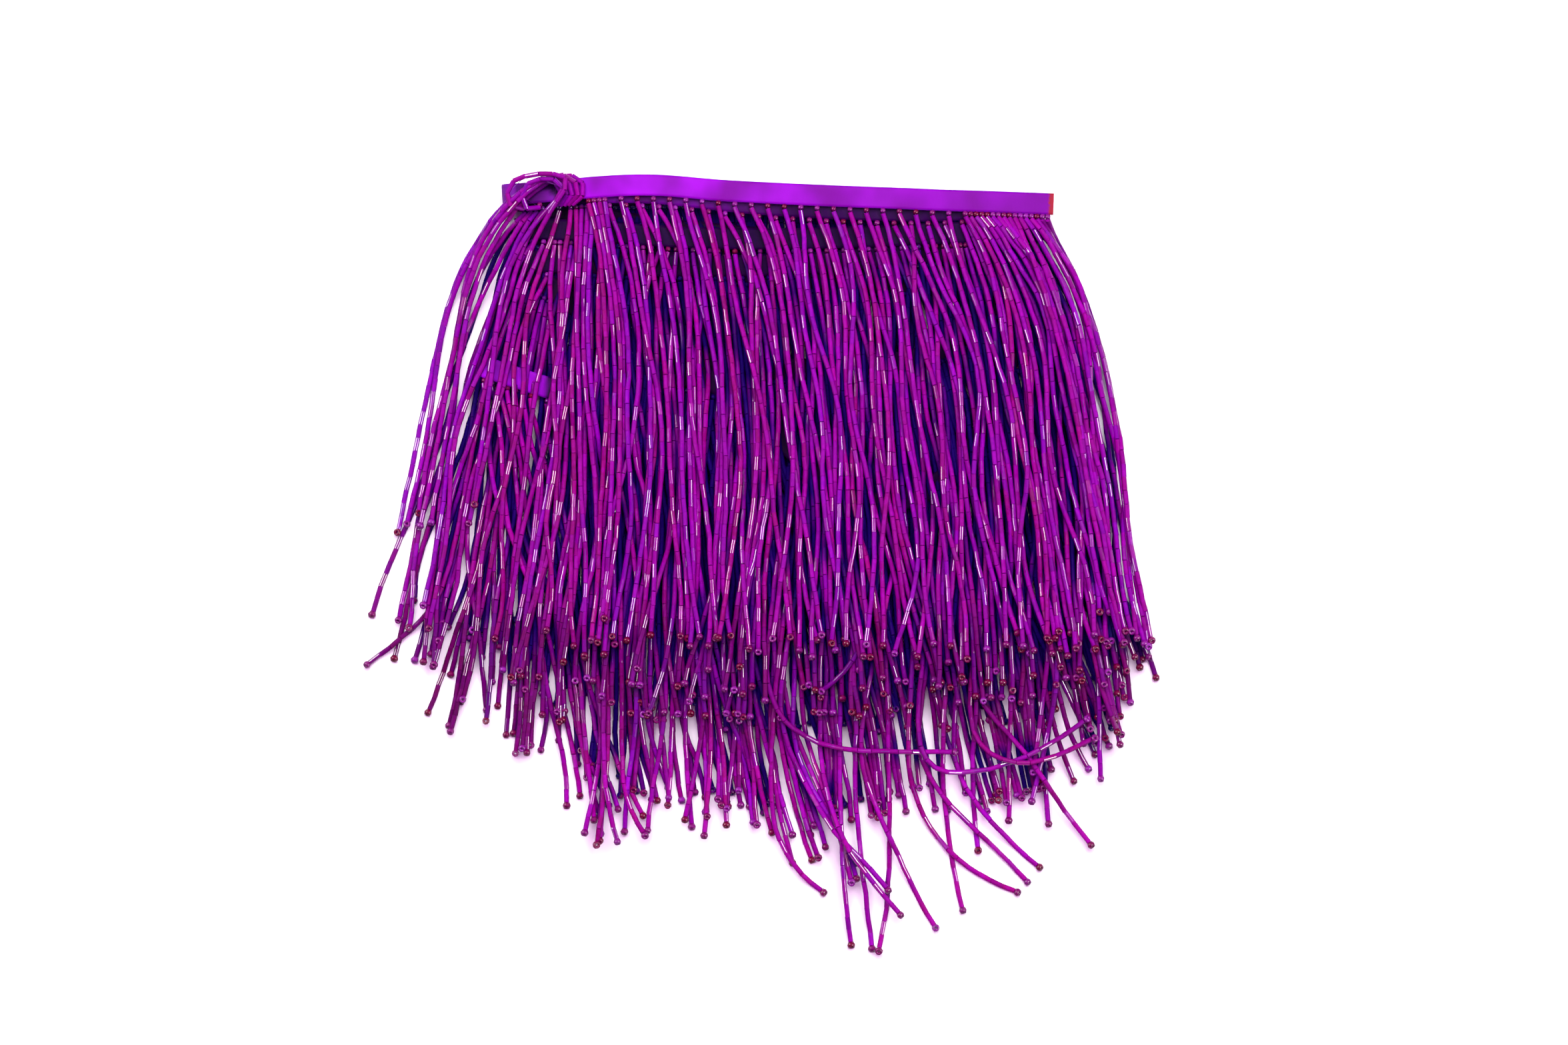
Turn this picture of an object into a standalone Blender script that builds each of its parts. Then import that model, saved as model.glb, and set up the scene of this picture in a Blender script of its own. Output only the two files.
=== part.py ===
"""A flat-wound bundle of beaded fringe, lying on a table.

One satin tape is folded to and fro into nine runs that lie on each other.
Beaded strands of one length hang from the lower edge of every run.
They fan out over each other, so each strand is laid on what is already there.
Lengths are in millimetres and headings in degrees, and the meshes are written in metres.
A heading is measured from straight down the picture (-Y), and is positive towards +X.
"""

import math

import bmesh
import bpy
import numpy as np

MM = 0.001

TAPE_WIDTH = 10.0
TAPE_THICK = 1.0
STRAND_LENGTH = 200.0
STRAND_WIDTH = 2.4
STRAND_HEIGHT = 2.1
EASE_LENGTH = 45.0  # a strand eases from its root heading to its body heading over this
TURN_FROM = 0.50  # share of the length where a strand starts to turn to its tip heading
TURN_OVER = 0.25

STRIP_DEPTH = 1.6
STRIP_GAP = 0.5  # between the tape's edge and the strip that holds the roots
FIRST_STEP = 9.0  # the first, short straight of every strand
ROOT_FREE = 2.3  # this near its root a strand passes only its own strip
END_MARGIN = 2.4  # from a run's end to its first root
CLEARANCE = 0.32  # kept between everything that lies on something else
APRON = 5.0  # the tape also stays above what lies just below its strip

WAVES = ((90.0, 4.6), (160.0, 5.0))  # wave length, heading amplitude
ROOT_STRAY = 8.0  # how far the three headings of a strand stray at random
BODY_STRAY = 3.0
TIP_STRAY = 7.0
HEADING_STEPS = 144  # a strand's headings are worked out at this many steps
SEED = 40
TRIES = 16  # ways tried for each strand, of which it takes the lowest lying one

CELL = 0.5  # height map
SAMPLE = 0.5
MAP_X = (-200.0, 200.0)
MAP_Y = (-200.0, 200.0)
SWEEPS = 40  # passes in which heights are lowered
SETTLED = 0.01  # the passes end when one lowers the points by less than this in all
TOP_MARGIN = 0.1  # laid things count as this much wider on each side
CLEAR_MARGIN = 0.35  # and a strand that is being laid as this much
TAPE_MARGIN = 0.4

ORIGIN = (2.40, -0.86)  # middle of the outline of the bundle, where the part has its origin

# Runs of the tape, lowest first: x and y of the centre line from its left end to its right end,
# how far apart the tape's own sections stand, and how many long straights a strand has.
RUNS = (
    {
        "name": "fringe_1",
        "line": ((-108, 168), (-20, 169.5), (66, 167.3), (126.5, 163)),
        "station": 24,
        "straights": 4,
        "pitch": 8.2,
    },
    {
        "name": "fringe_2",
        "line": ((-107, 166), (-50, 155), (20, 148), (80, 149), (125.5, 153)),
        "station": 24,
        "straights": 4,
        "pitch": 8.2,
    },
    {
        "name": "fringe_3",
        "line": ((-106, 152), (-40, 138), (30, 130), (90, 130), (124.5, 145)),
        "station": 24,
        "straights": 4,
        "pitch": 8.2,
    },
    {
        "name": "fringe_4",
        "line": ((-105, 135), (-60, 104), (-10, 90), (40, 90), (85, 98), (123.5, 135)),
        "station": 16,
        "straights": 5,
        "pitch": 7.6,
    },
    {
        "name": "fringe_5",
        "line": (
            (-124, 90),
            (-98, 81.5),
            (-80, 77),
            (-60, 80),
            (-22, 84),
            (14, 55),
            (38, 32),
            (60, 28),
            (86, 39),
            (107, 68),
            (123.5, 128),
        ),
        "station": 12,
        "straights": 6,
        "pitch": 7.4,
    },
    {
        "name": "fringe_6",
        "line": ((-105, 138), (0, 136), (124.5, 146)),
        "station": 24,
        "straights": 5,
        "pitch": 7.8,
    },
    {
        "name": "fringe_7",
        "line": ((-106, 153), (-85, 152), (0, 148), (125.5, 152)),
        "station": 24,
        "straights": 6,
        "pitch": 7.4,
    },
    {
        "name": "fringe_8",
        "line": ((-107, 167), (-52, 169), (5, 163.5), (75, 160.5), (126.5, 163.5)),
        "station": 24,
        "straights": 6,
        "pitch": 7.4,
    },
    {
        "name": "fringe_9",
        "line": ((-108, 168), (-52, 172), (-10, 169.3), (55, 166.3), (135, 163)),
        "station": 24,
        "straights": 7,
        "pitch": 7.4,
    },
)

# The tape's own way through the runs, from its inner end to its outer end, and the folds
# between them: the side that each fold is on, and how far it bulges past the runs.
TAPE_ORDER = (4, 3, 5, 2, 6, 1, 7, 0, 8)
FOLDS = (
    {"side": 1, "bulge": 2.6},
    {"side": -1, "bulge": 2.6},
    {"side": 1, "bulge": 4.2},
    {"side": -1, "bulge": 4.2},
    {"side": 1, "bulge": 5.8},
    {"side": -1, "bulge": 5.8},
    {"side": 1, "bulge": 7.4},
    {"side": -1, "bulge": 7.4},
)
FOLD_STEPS = 6

# Headings along a run: root x, heading at the root, along the body and at the tip.
SIDE_LEANS = (
    (-110, -40, -8, -11),
    (-100, -26, -8, -9),
    (-90, -14, -6, -7),
    (-60, -2, 2, -2),
    (-10, 3, 1, 2),
    (50, 0, 0, 2),
    (95, 5, 3, 4),
    (115, 18, 5, 4),
    (124, 26, 4, 3),
    (135, 26, 3, 3),
)
LOW_MIDDLE_LEANS = (
    (-106, -24, -6, -8),
    (-90, -10, -6, -8),
    (-60, -6, -4, -6),
    (-10, 0, 2, 4),
    (40, 4, 5, 6),
    (85, 12, 7, 6),
    (110, 14, 6, 6),
    (124, 26, 5, 6),
)
MIDDLE_LEANS = (
    (-124, 6, 14, 16),
    (-98, 2, 11, 8),
    (-75, -6, 3, -3),
    (-50, 0, 4, 2),
    (-20, 4, 6, 4),
    (5, 4, 3, 14),
    (26, 2, 0, 28),
    (42, -2, -1, 8),
    (60, 0, 0, -6),
    (72, 8, 2, 20),
    (88, 12, 4, 4),
    (100, 16, 2, 8),
    (112, 18, 2, 8),
    (124, 20, 3, 6),
)
TOP_LEANS = (
    (-110, -44, -9, -12),
    (-100, -30, -8, -9),
    (-92, -14, -5, -6),
    (-80, 10, 2, 0),
    (-60, 22, 3, 2),
    (-30, 18, 4, 3),
    (0, 12, 3, 2),
    (20, 3, 1, 0),
    (45, 6, 1, 0),
    (60, 22, 3, 2),
    (80, 14, 3, 3),
    (100, 20, 4, 4),
    (115, 26, 5, 4),
    (124, 28, 4, 3),
    (135, 24, 4, 3),
)
LEANS = (
    SIDE_LEANS,
    SIDE_LEANS,
    SIDE_LEANS,
    LOW_MIDDLE_LEANS,
    MIDDLE_LEANS,
    SIDE_LEANS,
    SIDE_LEANS,
    TOP_LEANS,
    TOP_LEANS,
)

# Strands that lie in a way of their own: the run and the root x that they take the place of, and their
# headings at shares of their length. Loops turn about near the root, and tails turn near the tip.
STRAY_FIRST = 0.03  # share of the length in the first straight
LOOP_STRAIGHTS = 16
LOOP_SHARES = (0, 0.04, 0.08, 0.12, 0.16, 0.20, 0.24, 0.30, 0.45, 0.55, 1)
LOOPS = (
    {"run": 8, "x": -83, "headings": (100, 170, 240, 290, 304, 310, 318, 326, 342, 350, 350)},
    {"run": 8, "x": -91, "headings": (120, 200, 270, 300, 306, 312, 318, 326, 342, 348, 348)},
    {"run": 8, "x": -98, "headings": (-40, -150, -215, -266, -280, -404, -406, -398, -374, -366, -371)},
    {"run": 8, "x": -106, "headings": (-60, -160, -215, -262, -270, -272, -394, -396, -378, -370, -373)},
)
TAIL_STRAIGHTS = 12
TAIL_SHARES = (0, 0.08, 0.20, 0.45, 0.55, 0.65, 0.75, 0.85, 1)
TAILS = (
    {"run": 4, "x": -94, "headings": (0, 10, 11, 11, 11, 9, 2, -10, -14)},
    {"run": 4, "x": -87, "headings": (0, 7, 8, 8, 7, 6, 4, -2, -6)},
    {"run": 4, "x": -80, "headings": (0, 5, 6, 6, 5, 3, -2, -6, -10)},
    {"run": 4, "x": -73, "headings": (0, 1, 1, 1, 0, 0, 0, 6, 14)},
    {"run": 4, "x": -66, "headings": (0, 1, 1, 1, 0, 0, 0, 4, 40)},
    {"run": 4, "x": 43, "headings": (0, -1, -1, -1, 0, 1, 3, 4, 9)},
    {"run": 4, "x": 50, "headings": (0, -2, -2, -2, -1, 4, 6, 7, 8)},
    {"run": 4, "x": 57, "headings": (0, 1, 2, 2, 1, 1, 0, -3, -16)},
    {"run": 4, "x": 91, "headings": (0, -5, -6, -6, -3, 2, 6, 9, 14)},
    {"run": 4, "x": 108, "headings": (24, -4, -11, -8, -6, -4, -2, 2, 8)},
    {"run": 4, "x": 111, "headings": (26, 4, -5, -4, -3, -2, -1, 0, 0)},
    {"run": 4, "x": 114, "headings": (28, 14, 7, 4, 2, 0, -6, -14, -13)},
    {"run": 4, "x": 117, "headings": (30, 12, 2, 0, 0, -2, -4, -8, -9)},
    {"run": 4, "x": 25, "headings": (0, -7, -8, -6, -4, -2, 4, 26, 58)},
    {"run": 4, "x": 30, "headings": (0, -11, -11, -7, 14, 26, 32, 44, 38)},
    {"run": 4, "x": 36, "headings": (0, -2, -2, -2, 2, 14, 22, 38, 40)},
    {"run": 4, "x": 65, "headings": (0, -12, -13, -10, 4, 22, 25, 25, 31)},
    {"run": 4, "x": 72, "headings": (0, -3, -3, -3, 0, 18, 34, 54, 70)},
    {"run": 4, "x": 85, "headings": (0, -8, -9, -9, -3, 28, 44, 46, 44)},
    {"run": 4, "x": 96, "headings": (0, -5, -6, -6, -4, 3, 34, 42, 52)},
    {"run": 4, "x": 100, "headings": (16, -4, -10, -5, 22, 46, 36, 33, 42)},
    {"run": 4, "x": 20, "headings": (0, -8, -8, -4, 28, 62, 86, 89, 90)},
    {"run": 4, "x": 79, "headings": (0, -5, -6, -5, 8, 84, 108, 116, 126)},
    {"run": 4, "x": 104, "headings": (20, -6, -12, -7, -4, 4, 62, 104, 118)},
    {"run": 5, "x": 62, "headings": (0, 0, -1, -1, -1, -4, -10, -24, -58)},
    {"run": 5, "x": -103, "headings": (-34, -24, -16, -11, -11, -12, -22, -50, -54)},
)
STRAYS = [{"shares": LOOP_SHARES, "straights": LOOP_STRAIGHTS, **loop} for loop in LOOPS]
STRAYS += [{"shares": TAIL_SHARES, "straights": TAIL_STRAIGHTS, **tail} for tail in TAILS]


def curve_through(points, spacing):
    """Points at about one spacing along a smooth curve through the given ones."""
    given = np.array(points, float)
    padded = np.vstack([2 * given[0] - given[1], given, 2 * given[-1] - given[-2]])
    fine = []
    for i in range(len(given) - 1):
        a, b, c, d = padded[i : i + 4]
        t = np.linspace(0, 1, 24, endpoint=False)[:, None]
        fine.append(
            0.5 * (2 * b + (c - a) * t + (2 * a - 5 * b + 4 * c - d) * t**2 + (3 * b - a - 3 * c + d) * t**3)
        )
    fine = np.vstack([*fine, given[-1:]])
    along = np.concatenate([[0], np.cumsum(np.linalg.norm(np.diff(fine, axis=0), axis=1))])
    count = max(2, round(along[-1] / spacing) + 1)
    even = np.linspace(0, along[-1], count)
    return np.stack([np.interp(even, along, fine[:, k]) for k in range(2)], axis=1)


def distances(points):
    return np.concatenate([[0], np.cumsum(np.linalg.norm(np.diff(points, axis=0), axis=1))])


def side_vectors(points):
    """At each point of a plan line, the unit vector to its left, square to the line there."""
    steps = np.diff(points, axis=0)
    steps /= np.linalg.norm(steps, axis=1)[:, None]
    along = np.vstack([steps[:1], steps[:-1] + steps[1:], steps[-1:]])
    along /= np.linalg.norm(along, axis=1)[:, None]
    return np.stack([-along[:, 1], along[:, 0]], axis=1)


def smooth_step(x):
    x = np.clip(x, 0, 1)
    return x * x * (3 - 2 * x)


def strand_plan(root, headings, shares):
    """The plan points of one strand: its headings are followed from the root for its whole length."""
    theta = np.radians(headings)
    step = STRAND_LENGTH / (len(headings) - 1)
    middle = (theta[:-1] + theta[1:]) / 2
    moves = np.stack([np.sin(middle), -np.cos(middle)], axis=1) * step
    path = np.vstack([[root], root + np.cumsum(moves, axis=0)])
    s = np.linspace(0, 1, len(path))
    return np.stack([np.interp(shares, s, path[:, k]) for k in range(2)], axis=1)


class HeightMap:
    """The top of everything laid so far, on a square grid over the table."""

    def __init__(self):
        shape = (round((MAP_X[1] - MAP_X[0]) / CELL), round((MAP_Y[1] - MAP_Y[0]) / CELL))
        self.top = np.zeros(shape)

    def cells(self, x, y):
        i = np.clip(((x - MAP_X[0]) / CELL).astype(int), 0, self.top.shape[0] - 1)
        j = np.clip(((y - MAP_Y[0]) / CELL).astype(int), 0, self.top.shape[1] - 1)
        return i, j

    def band(self, a, b, offsets):
        """Sample points of the straight from a to b: shares of its length, then x and y."""
        count = max(3, int(np.linalg.norm(b - a) / SAMPLE) + 1)
        t = np.linspace(0, 1, count)
        along = (b - a) / np.linalg.norm(b - a)
        side = np.array([-along[1], along[0]])
        points = a + t[:, None] * (b - a)
        spread = points[:, None, :] + offsets[None, :, None] * side
        return t, spread[..., 0], spread[..., 1]

    def under(self, a, b, offsets):
        t, x, y = self.band(a, b, offsets)
        return t, self.top[self.cells(x, y)].max(axis=1)

    def raise_to(self, a, b, offsets, za, zb, height):
        t, x, y = self.band(a, b, offsets)
        level = np.broadcast_to((za + (zb - za) * t + height)[:, None], x.shape)
        np.maximum.at(self.top, self.cells(x, y), level)


def settle(table, points, offsets, root=None):
    """The lowest heights at which straights between the points clear what lies under them."""
    spans = []
    for j, (a, b) in enumerate(zip(points[:-1], points[1:])):
        t, below = table.under(a, b, offsets)
        need = np.where(below > 0, below + CLEARANCE, 0.0)
        if root is not None and j == 0:
            need[t * np.linalg.norm(b - a) < ROOT_FREE] = 0.0
        spans.append((t, need))
    z = np.zeros(len(points))
    for j, (_, need) in enumerate(spans):
        z[j] = max(z[j], need.max())
        z[j + 1] = max(z[j + 1], need.max())
    first = 0
    if root is not None:
        first = 1
        t, need = spans[0]
        z[0] = root
        z[1] = max(z[1], ((need[1:] - (1 - t[1:]) * root) / t[1:]).max())
    for _ in range(SWEEPS):
        before = z.sum()
        for j in range(first, len(points)):
            least = 0.0
            if j > 0:
                t, need = spans[j - 1]
                least = max(least, ((need[1:] - (1 - t[1:]) * z[j - 1]) / t[1:]).max())
            if j < len(spans):
                t, need = spans[j]
                least = max(least, ((need[:-1] - t[:-1] * z[j + 1]) / (1 - t[:-1])).max())
            z[j] = min(z[j], least)
        if before - z.sum() < SETTLED:
            break
    return z


def offsets_over(low, high):
    return np.linspace(low, high, max(2, int((high - low) / SAMPLE) + 2))


# How far to each side of its middle line each thing reaches, as samples across it.
ROOT_OFFSET = TAPE_WIDTH / 2 + STRIP_GAP + STRIP_DEPTH
STRAND_OFFSETS = offsets_over(-STRAND_WIDTH / 2 - TOP_MARGIN, STRAND_WIDTH / 2 + TOP_MARGIN)
CLEAR_OFFSETS = offsets_over(-STRAND_WIDTH / 2 - CLEAR_MARGIN, STRAND_WIDTH / 2 + CLEAR_MARGIN)
TAPE_OFFSETS = offsets_over(-TAPE_WIDTH / 2 - TAPE_MARGIN, TAPE_WIDTH / 2 + TAPE_MARGIN)
RUN_OFFSETS = offsets_over(-ROOT_OFFSET - APRON, TAPE_WIDTH / 2 + TAPE_MARGIN)
STRIP_OFFSETS = offsets_over(-ROOT_OFFSET - TAPE_MARGIN, -TAPE_WIDTH / 2)


def strand_headings(leans, x, wander):
    """Headings at even steps along an ordinary strand whose root is at x."""
    table = np.array(leans, float)
    root, body, tip = (np.interp(x, table[:, 0], table[:, k]) for k in (1, 2, 3))
    root += wander[0] * ROOT_STRAY
    body += wander[1] * BODY_STRAY
    tip += wander[2] * TIP_STRAY + wander[1] * BODY_STRAY
    s = np.linspace(0, 1, HEADING_STEPS + 1)
    theta = body + (root - body) * np.exp(-s * STRAND_LENGTH / EASE_LENGTH)
    theta += (tip - body) * smooth_step((s - TURN_FROM) / TURN_OVER)
    for k, (length, swing) in enumerate(WAVES):
        phase = wander[3 + k] * math.pi
        theta += swing * wander[5 + k] * np.sin(2 * math.pi * s * STRAND_LENGTH / length + phase)
    return theta


def build_run(run, leans, folds, strays, table, random):
    """Lays one run of the tape, the folds down from it and its strands, and returns where they lie."""
    plan = curve_through(run["line"], run["station"])
    along = distances(plan)
    z = settle(table, plan, RUN_OFFSETS)
    for j in range(len(plan) - 1):
        table.raise_to(plan[j], plan[j + 1], TAPE_OFFSETS, z[j], z[j + 1], TAPE_THICK)
        table.raise_to(plan[j], plan[j + 1], STRIP_OFFSETS, z[j], z[j + 1], STRAND_HEIGHT)
    for fold in folds:
        end = -1 if fold["side"] > 0 else 0
        crest = plan[end] + np.array([fold["side"] * fold["bulge"], 0])
        table.raise_to(plan[end], crest, TAPE_OFFSETS, z[end], z[end], TAPE_THICK)
    side = side_vectors(plan)
    count = int((along[-1] - 2 * END_MARGIN) / run["pitch"]) + 1
    places = np.linspace(END_MARGIN, along[-1] - END_MARGIN, count)
    centre = np.stack([np.interp(places, along, plan[:, k]) for k in range(2)], axis=1)
    left = np.stack([np.interp(places, along, side[:, k]) for k in range(2)], axis=1)
    left /= np.linalg.norm(left, axis=1)[:, None]
    heights = np.interp(places, along, z)
    fronts = centre - left * ROOT_OFFSET
    taken = {int(np.abs(centre[:, 0] - stray["x"]).argmin()): stray for stray in strays}
    strands = [None] * count
    order = [i for i in range(count) if i not in taken] + list(taken)
    for i in order:
        tries = []
        if i in taken:
            stray = taken[i]
            shares = np.concatenate([[0], np.linspace(STRAY_FIRST, 1, stray["straights"])])
            theta = np.interp(np.linspace(0, 1, HEADING_STEPS + 1), stray["shares"], stray["headings"])
            tries.append(strand_plan(fronts[i], theta, shares))
        else:
            shares = np.linspace(FIRST_STEP / STRAND_LENGTH, 1, run["straights"] + 1)
            shares = np.concatenate([[0], shares])
            for wander in np.clip(random.normal(size=(TRIES, 8)), -2, 2):
                theta = strand_headings(leans, centre[i, 0], wander)
                tries.append(strand_plan(fronts[i], theta, shares))
        settled = [(settle(table, path, CLEAR_OFFSETS, root=heights[i]), path) for path in tries]
        level, path = min(settled, key=lambda found: found[0].mean() + found[0].max())
        for j in range(len(path) - 1):
            table.raise_to(path[j], path[j + 1], STRAND_OFFSETS, level[j], level[j + 1], STRAND_HEIGHT)
        strands[i] = np.column_stack([path, level])
    return {"plan": plan, "z": z, "side": side, "left": left, "heights": heights, "strands": strands}


def fringe_mesh(laid):
    """One closed surface: a wedge-shaped strip, and a three-sided strand out of its front at each root."""
    verts, faces = [], []
    half = STRAND_WIDTH / 2

    def add(x, y, z):
        verts.append((x, y, z))
        return len(verts) - 1

    rings = []
    for left, height, strand in zip(laid["left"], laid["heights"], laid["strands"]):
        along = np.array([left[1], -left[0]])
        front = strand[0, :2]
        back = front + left * STRIP_DEPTH
        west = add(*(front - along * half), height)
        east = add(*(front + along * half), height)
        peak = add(*front, height + STRAND_HEIGHT)
        rear = add(*back, height)
        rings.append((west, east, peak, rear))
        # the left of a strand that runs down the picture is its +X side
        east_side = side_vectors(strand[:, :2])
        ring = (west, east, peak)
        for k in range(1, len(strand)):
            x, y, z = strand[k]
            dx, dy = east_side[k] * half
            following = (add(x - dx, y - dy, z), add(x + dx, y + dy, z), add(x, y, z + STRAND_HEIGHT))
            for a, b in ((0, 1), (1, 2), (2, 0)):
                faces.append((ring[a], ring[b], following[b], following[a]))
            ring = following
        faces.append(ring)
    for (w0, e0, p0, r0), (w1, e1, p1, r1) in zip(rings[:-1], rings[1:]):
        faces.append((e0, w1, p1, p0))
        faces.append((r0, r1, w1, e0))
        faces.append((r0, p0, p1, r1))
    for west, east, peak, rear in rings:
        faces.append((rear, east, west))
    west, east, peak, rear = rings[0]
    faces.append((rear, west, peak))
    west, east, peak, rear = rings[-1]
    faces.append((rear, peak, east))
    return verts, faces


def tape_path(laid):
    """The tape's centre line from its inner end to its outer end, with the vector across it."""
    centre, across = [], []
    for step, index in enumerate(TAPE_ORDER):
        run = laid[index]
        points = np.column_stack([run["plan"], run["z"] + TAPE_THICK / 2])
        side = run["side"]
        if step % 2 == 1:
            points, side = points[::-1], side[::-1]
        centre.append(points)
        across.append(side)
        if step == len(FOLDS):
            break
        fold = FOLDS[step]
        after = laid[TAPE_ORDER[step + 1]]
        end = -1 if fold["side"] > 0 else 0
        to_point = np.append(after["plan"][end], after["z"][end] + TAPE_THICK / 2)
        from_point = points[-1]
        turn = np.linspace(0, math.pi, FOLD_STEPS + 1)[1:-1]
        share = (turn / math.pi)[:, None]
        middle = from_point + (to_point - from_point) * share
        middle[:, 2] = (from_point[2] + to_point[2]) / 2 + (from_point[2] - to_point[2]) / 2 * np.cos(turn)
        middle[:, 0] += fold["side"] * fold["bulge"] * np.sin(turn)
        turned = side[-1] + (after["side"][end] - side[-1]) * share
        centre.append(middle)
        across.append(turned / np.linalg.norm(turned, axis=1)[:, None])
    return np.vstack(centre), np.vstack(across)


def tape_mesh(laid):
    """The tape's rectangular section, carried along its centre line."""
    centre, across = tape_path(laid)
    steps = np.diff(centre, axis=0)
    steps /= np.linalg.norm(steps, axis=1)[:, None]
    along = np.vstack([steps[:1], steps[:-1] + steps[1:], steps[-1:]])
    wide = np.column_stack([across, np.zeros(len(across))])
    normal = np.cross(along, wide)
    normal /= np.linalg.norm(normal, axis=1)[:, None]
    wide *= TAPE_WIDTH / 2
    normal *= TAPE_THICK / 2
    corners = ((1, 1), (-1, 1), (-1, -1), (1, -1))
    rings = np.stack([centre + a * wide + b * normal for a, b in corners], axis=1)
    verts = rings.reshape(-1, 3).tolist()
    faces = []
    for k in range(len(rings) - 1):
        for a in range(4):
            b = (a + 1) % 4
            faces.append((4 * k + a, 4 * k + b, 4 * k + 4 + b, 4 * k + 4 + a))
    last = len(verts)
    faces.append((3, 2, 1, 0))
    faces.append((last - 4, last - 3, last - 2, last - 1))
    return verts, faces


def make_material(name, colour, roughness):
    material = bpy.data.materials.new(name)
    material.use_nodes = True
    shader = material.node_tree.nodes["Principled BSDF"]
    shader.inputs["Base Color"].default_value = (*colour, 1)
    shader.inputs["Roughness"].default_value = roughness
    shader.inputs["Metallic"].default_value = 0
    return material


def make_object(name, verts, faces, material, parent):
    mesh = bpy.data.meshes.new(name)
    shift = np.array([ORIGIN[0], ORIGIN[1], 0.0])
    mesh.from_pydata(((np.array(verts) - shift) * MM).tolist(), [], faces)
    solid = bmesh.new()
    solid.from_mesh(mesh)
    bmesh.ops.triangulate(solid, faces=solid.faces)
    bmesh.ops.recalc_face_normals(solid, faces=solid.faces)
    solid.to_mesh(mesh)
    solid.free()
    mesh.materials.append(material)
    thing = bpy.data.objects.new(name, mesh)
    thing.parent = parent
    bpy.context.scene.collection.objects.link(thing)
    return thing


def main():
    for thing in list(bpy.data.objects):
        bpy.data.objects.remove(thing, do_unlink=True)
    table = HeightMap()
    random = np.random.default_rng(SEED)
    bundle = bpy.data.objects.new("bundle", None)
    bpy.context.scene.collection.objects.link(bundle)
    glass = make_material("magenta_glass_beads", (0.30, 0.005, 0.32), 0.22)
    satin = make_material("violet_satin", (0.36, 0.008, 0.72), 0.42)
    laid = []
    for index, run in enumerate(RUNS):
        folds = [fold for fold, a, b in zip(FOLDS, TAPE_ORDER, TAPE_ORDER[1:]) if max(a, b) == index]
        strays = [stray for stray in STRAYS if stray["run"] == index]
        laid.append(build_run(run, LEANS[index], folds, strays, table, random))
    make_object("satin_tape", *tape_mesh(laid), satin, bundle)
    for run, done in zip(RUNS, laid):
        make_object(run["name"], *fringe_mesh(done), glass, bundle)


main()
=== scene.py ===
import math
import time

import bpy
import numpy as np
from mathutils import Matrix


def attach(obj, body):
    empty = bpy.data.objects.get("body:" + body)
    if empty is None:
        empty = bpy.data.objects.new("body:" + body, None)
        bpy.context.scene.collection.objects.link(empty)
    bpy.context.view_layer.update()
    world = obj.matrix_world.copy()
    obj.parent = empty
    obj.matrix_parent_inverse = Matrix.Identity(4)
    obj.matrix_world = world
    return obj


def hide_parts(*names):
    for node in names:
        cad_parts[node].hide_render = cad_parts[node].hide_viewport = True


clock = time.time()
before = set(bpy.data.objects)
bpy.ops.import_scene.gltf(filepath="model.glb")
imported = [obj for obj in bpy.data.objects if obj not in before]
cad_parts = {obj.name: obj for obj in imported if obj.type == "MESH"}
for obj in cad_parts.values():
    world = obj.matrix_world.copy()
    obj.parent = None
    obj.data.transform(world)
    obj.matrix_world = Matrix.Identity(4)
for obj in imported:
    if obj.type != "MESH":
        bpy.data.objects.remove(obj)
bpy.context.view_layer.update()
print("loaded", len(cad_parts), "solids")

mm = 0.001
planZero = np.array([2.40, -0.86])  # the plan point at the middle of the bundle, which is the part's zero

# Sizes that the solids were laid out with, in millimetres. The beads follow the same strands.
laying = {
    "tapeThick": 1.0,
    "strandLength": 200.0,
    "strandHeight": 2.1,
    "easeLength": 45.0,  # a strand eases from its root heading to its body heading over this
    "turnFrom": 0.50,  # share of the length where it starts to turn to its tip heading
    "turnOver": 0.25,
    "rootOffset": 7.1,  # from the tape's middle line to the roots
    "firstStep": 9.0,
    "rootFree": 2.3,
    "endMargin": 2.4,
    "clearance": 0.32,
    "waves": ((90.0, 4.6), (160.0, 5.0)),
    "strays": (8.0, 3.0, 7.0),  # how far the root, body and tip headings stray
    "headingSteps": 144,
    "seed": 40,
    "tries": 16,
    "cell": 0.5,
    "halfMap": 200.0,
    "sweeps": 40,
    "settled": 0.01,
}

# Runs of the tape, lowest first: its middle line, station spacing, straights in a strand and root pitch.
runs = (
    {
        "line": ((-108, 168), (-20, 169.5), (66, 167.3), (126.5, 163)),
        "station": 24, "straights": 4, "pitch": 8.2,
    },
    {
        "line": ((-107, 166), (-50, 155), (20, 148), (80, 149), (125.5, 153)),
        "station": 24, "straights": 4, "pitch": 8.2,
    },
    {
        "line": ((-106, 152), (-40, 138), (30, 130), (90, 130), (124.5, 145)),
        "station": 24, "straights": 4, "pitch": 8.2,
    },
    {
        "line": ((-105, 135), (-60, 104), (-10, 90), (40, 90), (85, 98), (123.5, 135)),
        "station": 16, "straights": 5, "pitch": 7.6,
    },
    {
        "line": (
            (-124, 90), (-98, 81.5), (-80, 77), (-60, 80), (-22, 84), (14, 55),
            (38, 32), (60, 28), (86, 39), (107, 68), (123.5, 128),
        ),
        "station": 12, "straights": 6, "pitch": 7.4,
    },
    {
        "line": ((-105, 138), (0, 136), (124.5, 146)),
        "station": 24, "straights": 5, "pitch": 7.8,
    },
    {
        "line": ((-106, 153), (-85, 152), (0, 148), (125.5, 152)),
        "station": 24, "straights": 6, "pitch": 7.4,
    },
    {
        "line": ((-107, 167), (-52, 169), (5, 163.5), (75, 160.5), (126.5, 163.5)),
        "station": 24, "straights": 6, "pitch": 7.4,
    },
    {
        "line": ((-108, 168), (-52, 172), (-10, 169.3), (55, 166.3), (135, 163)),
        "station": 24, "straights": 7, "pitch": 7.4,
    },
)
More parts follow.
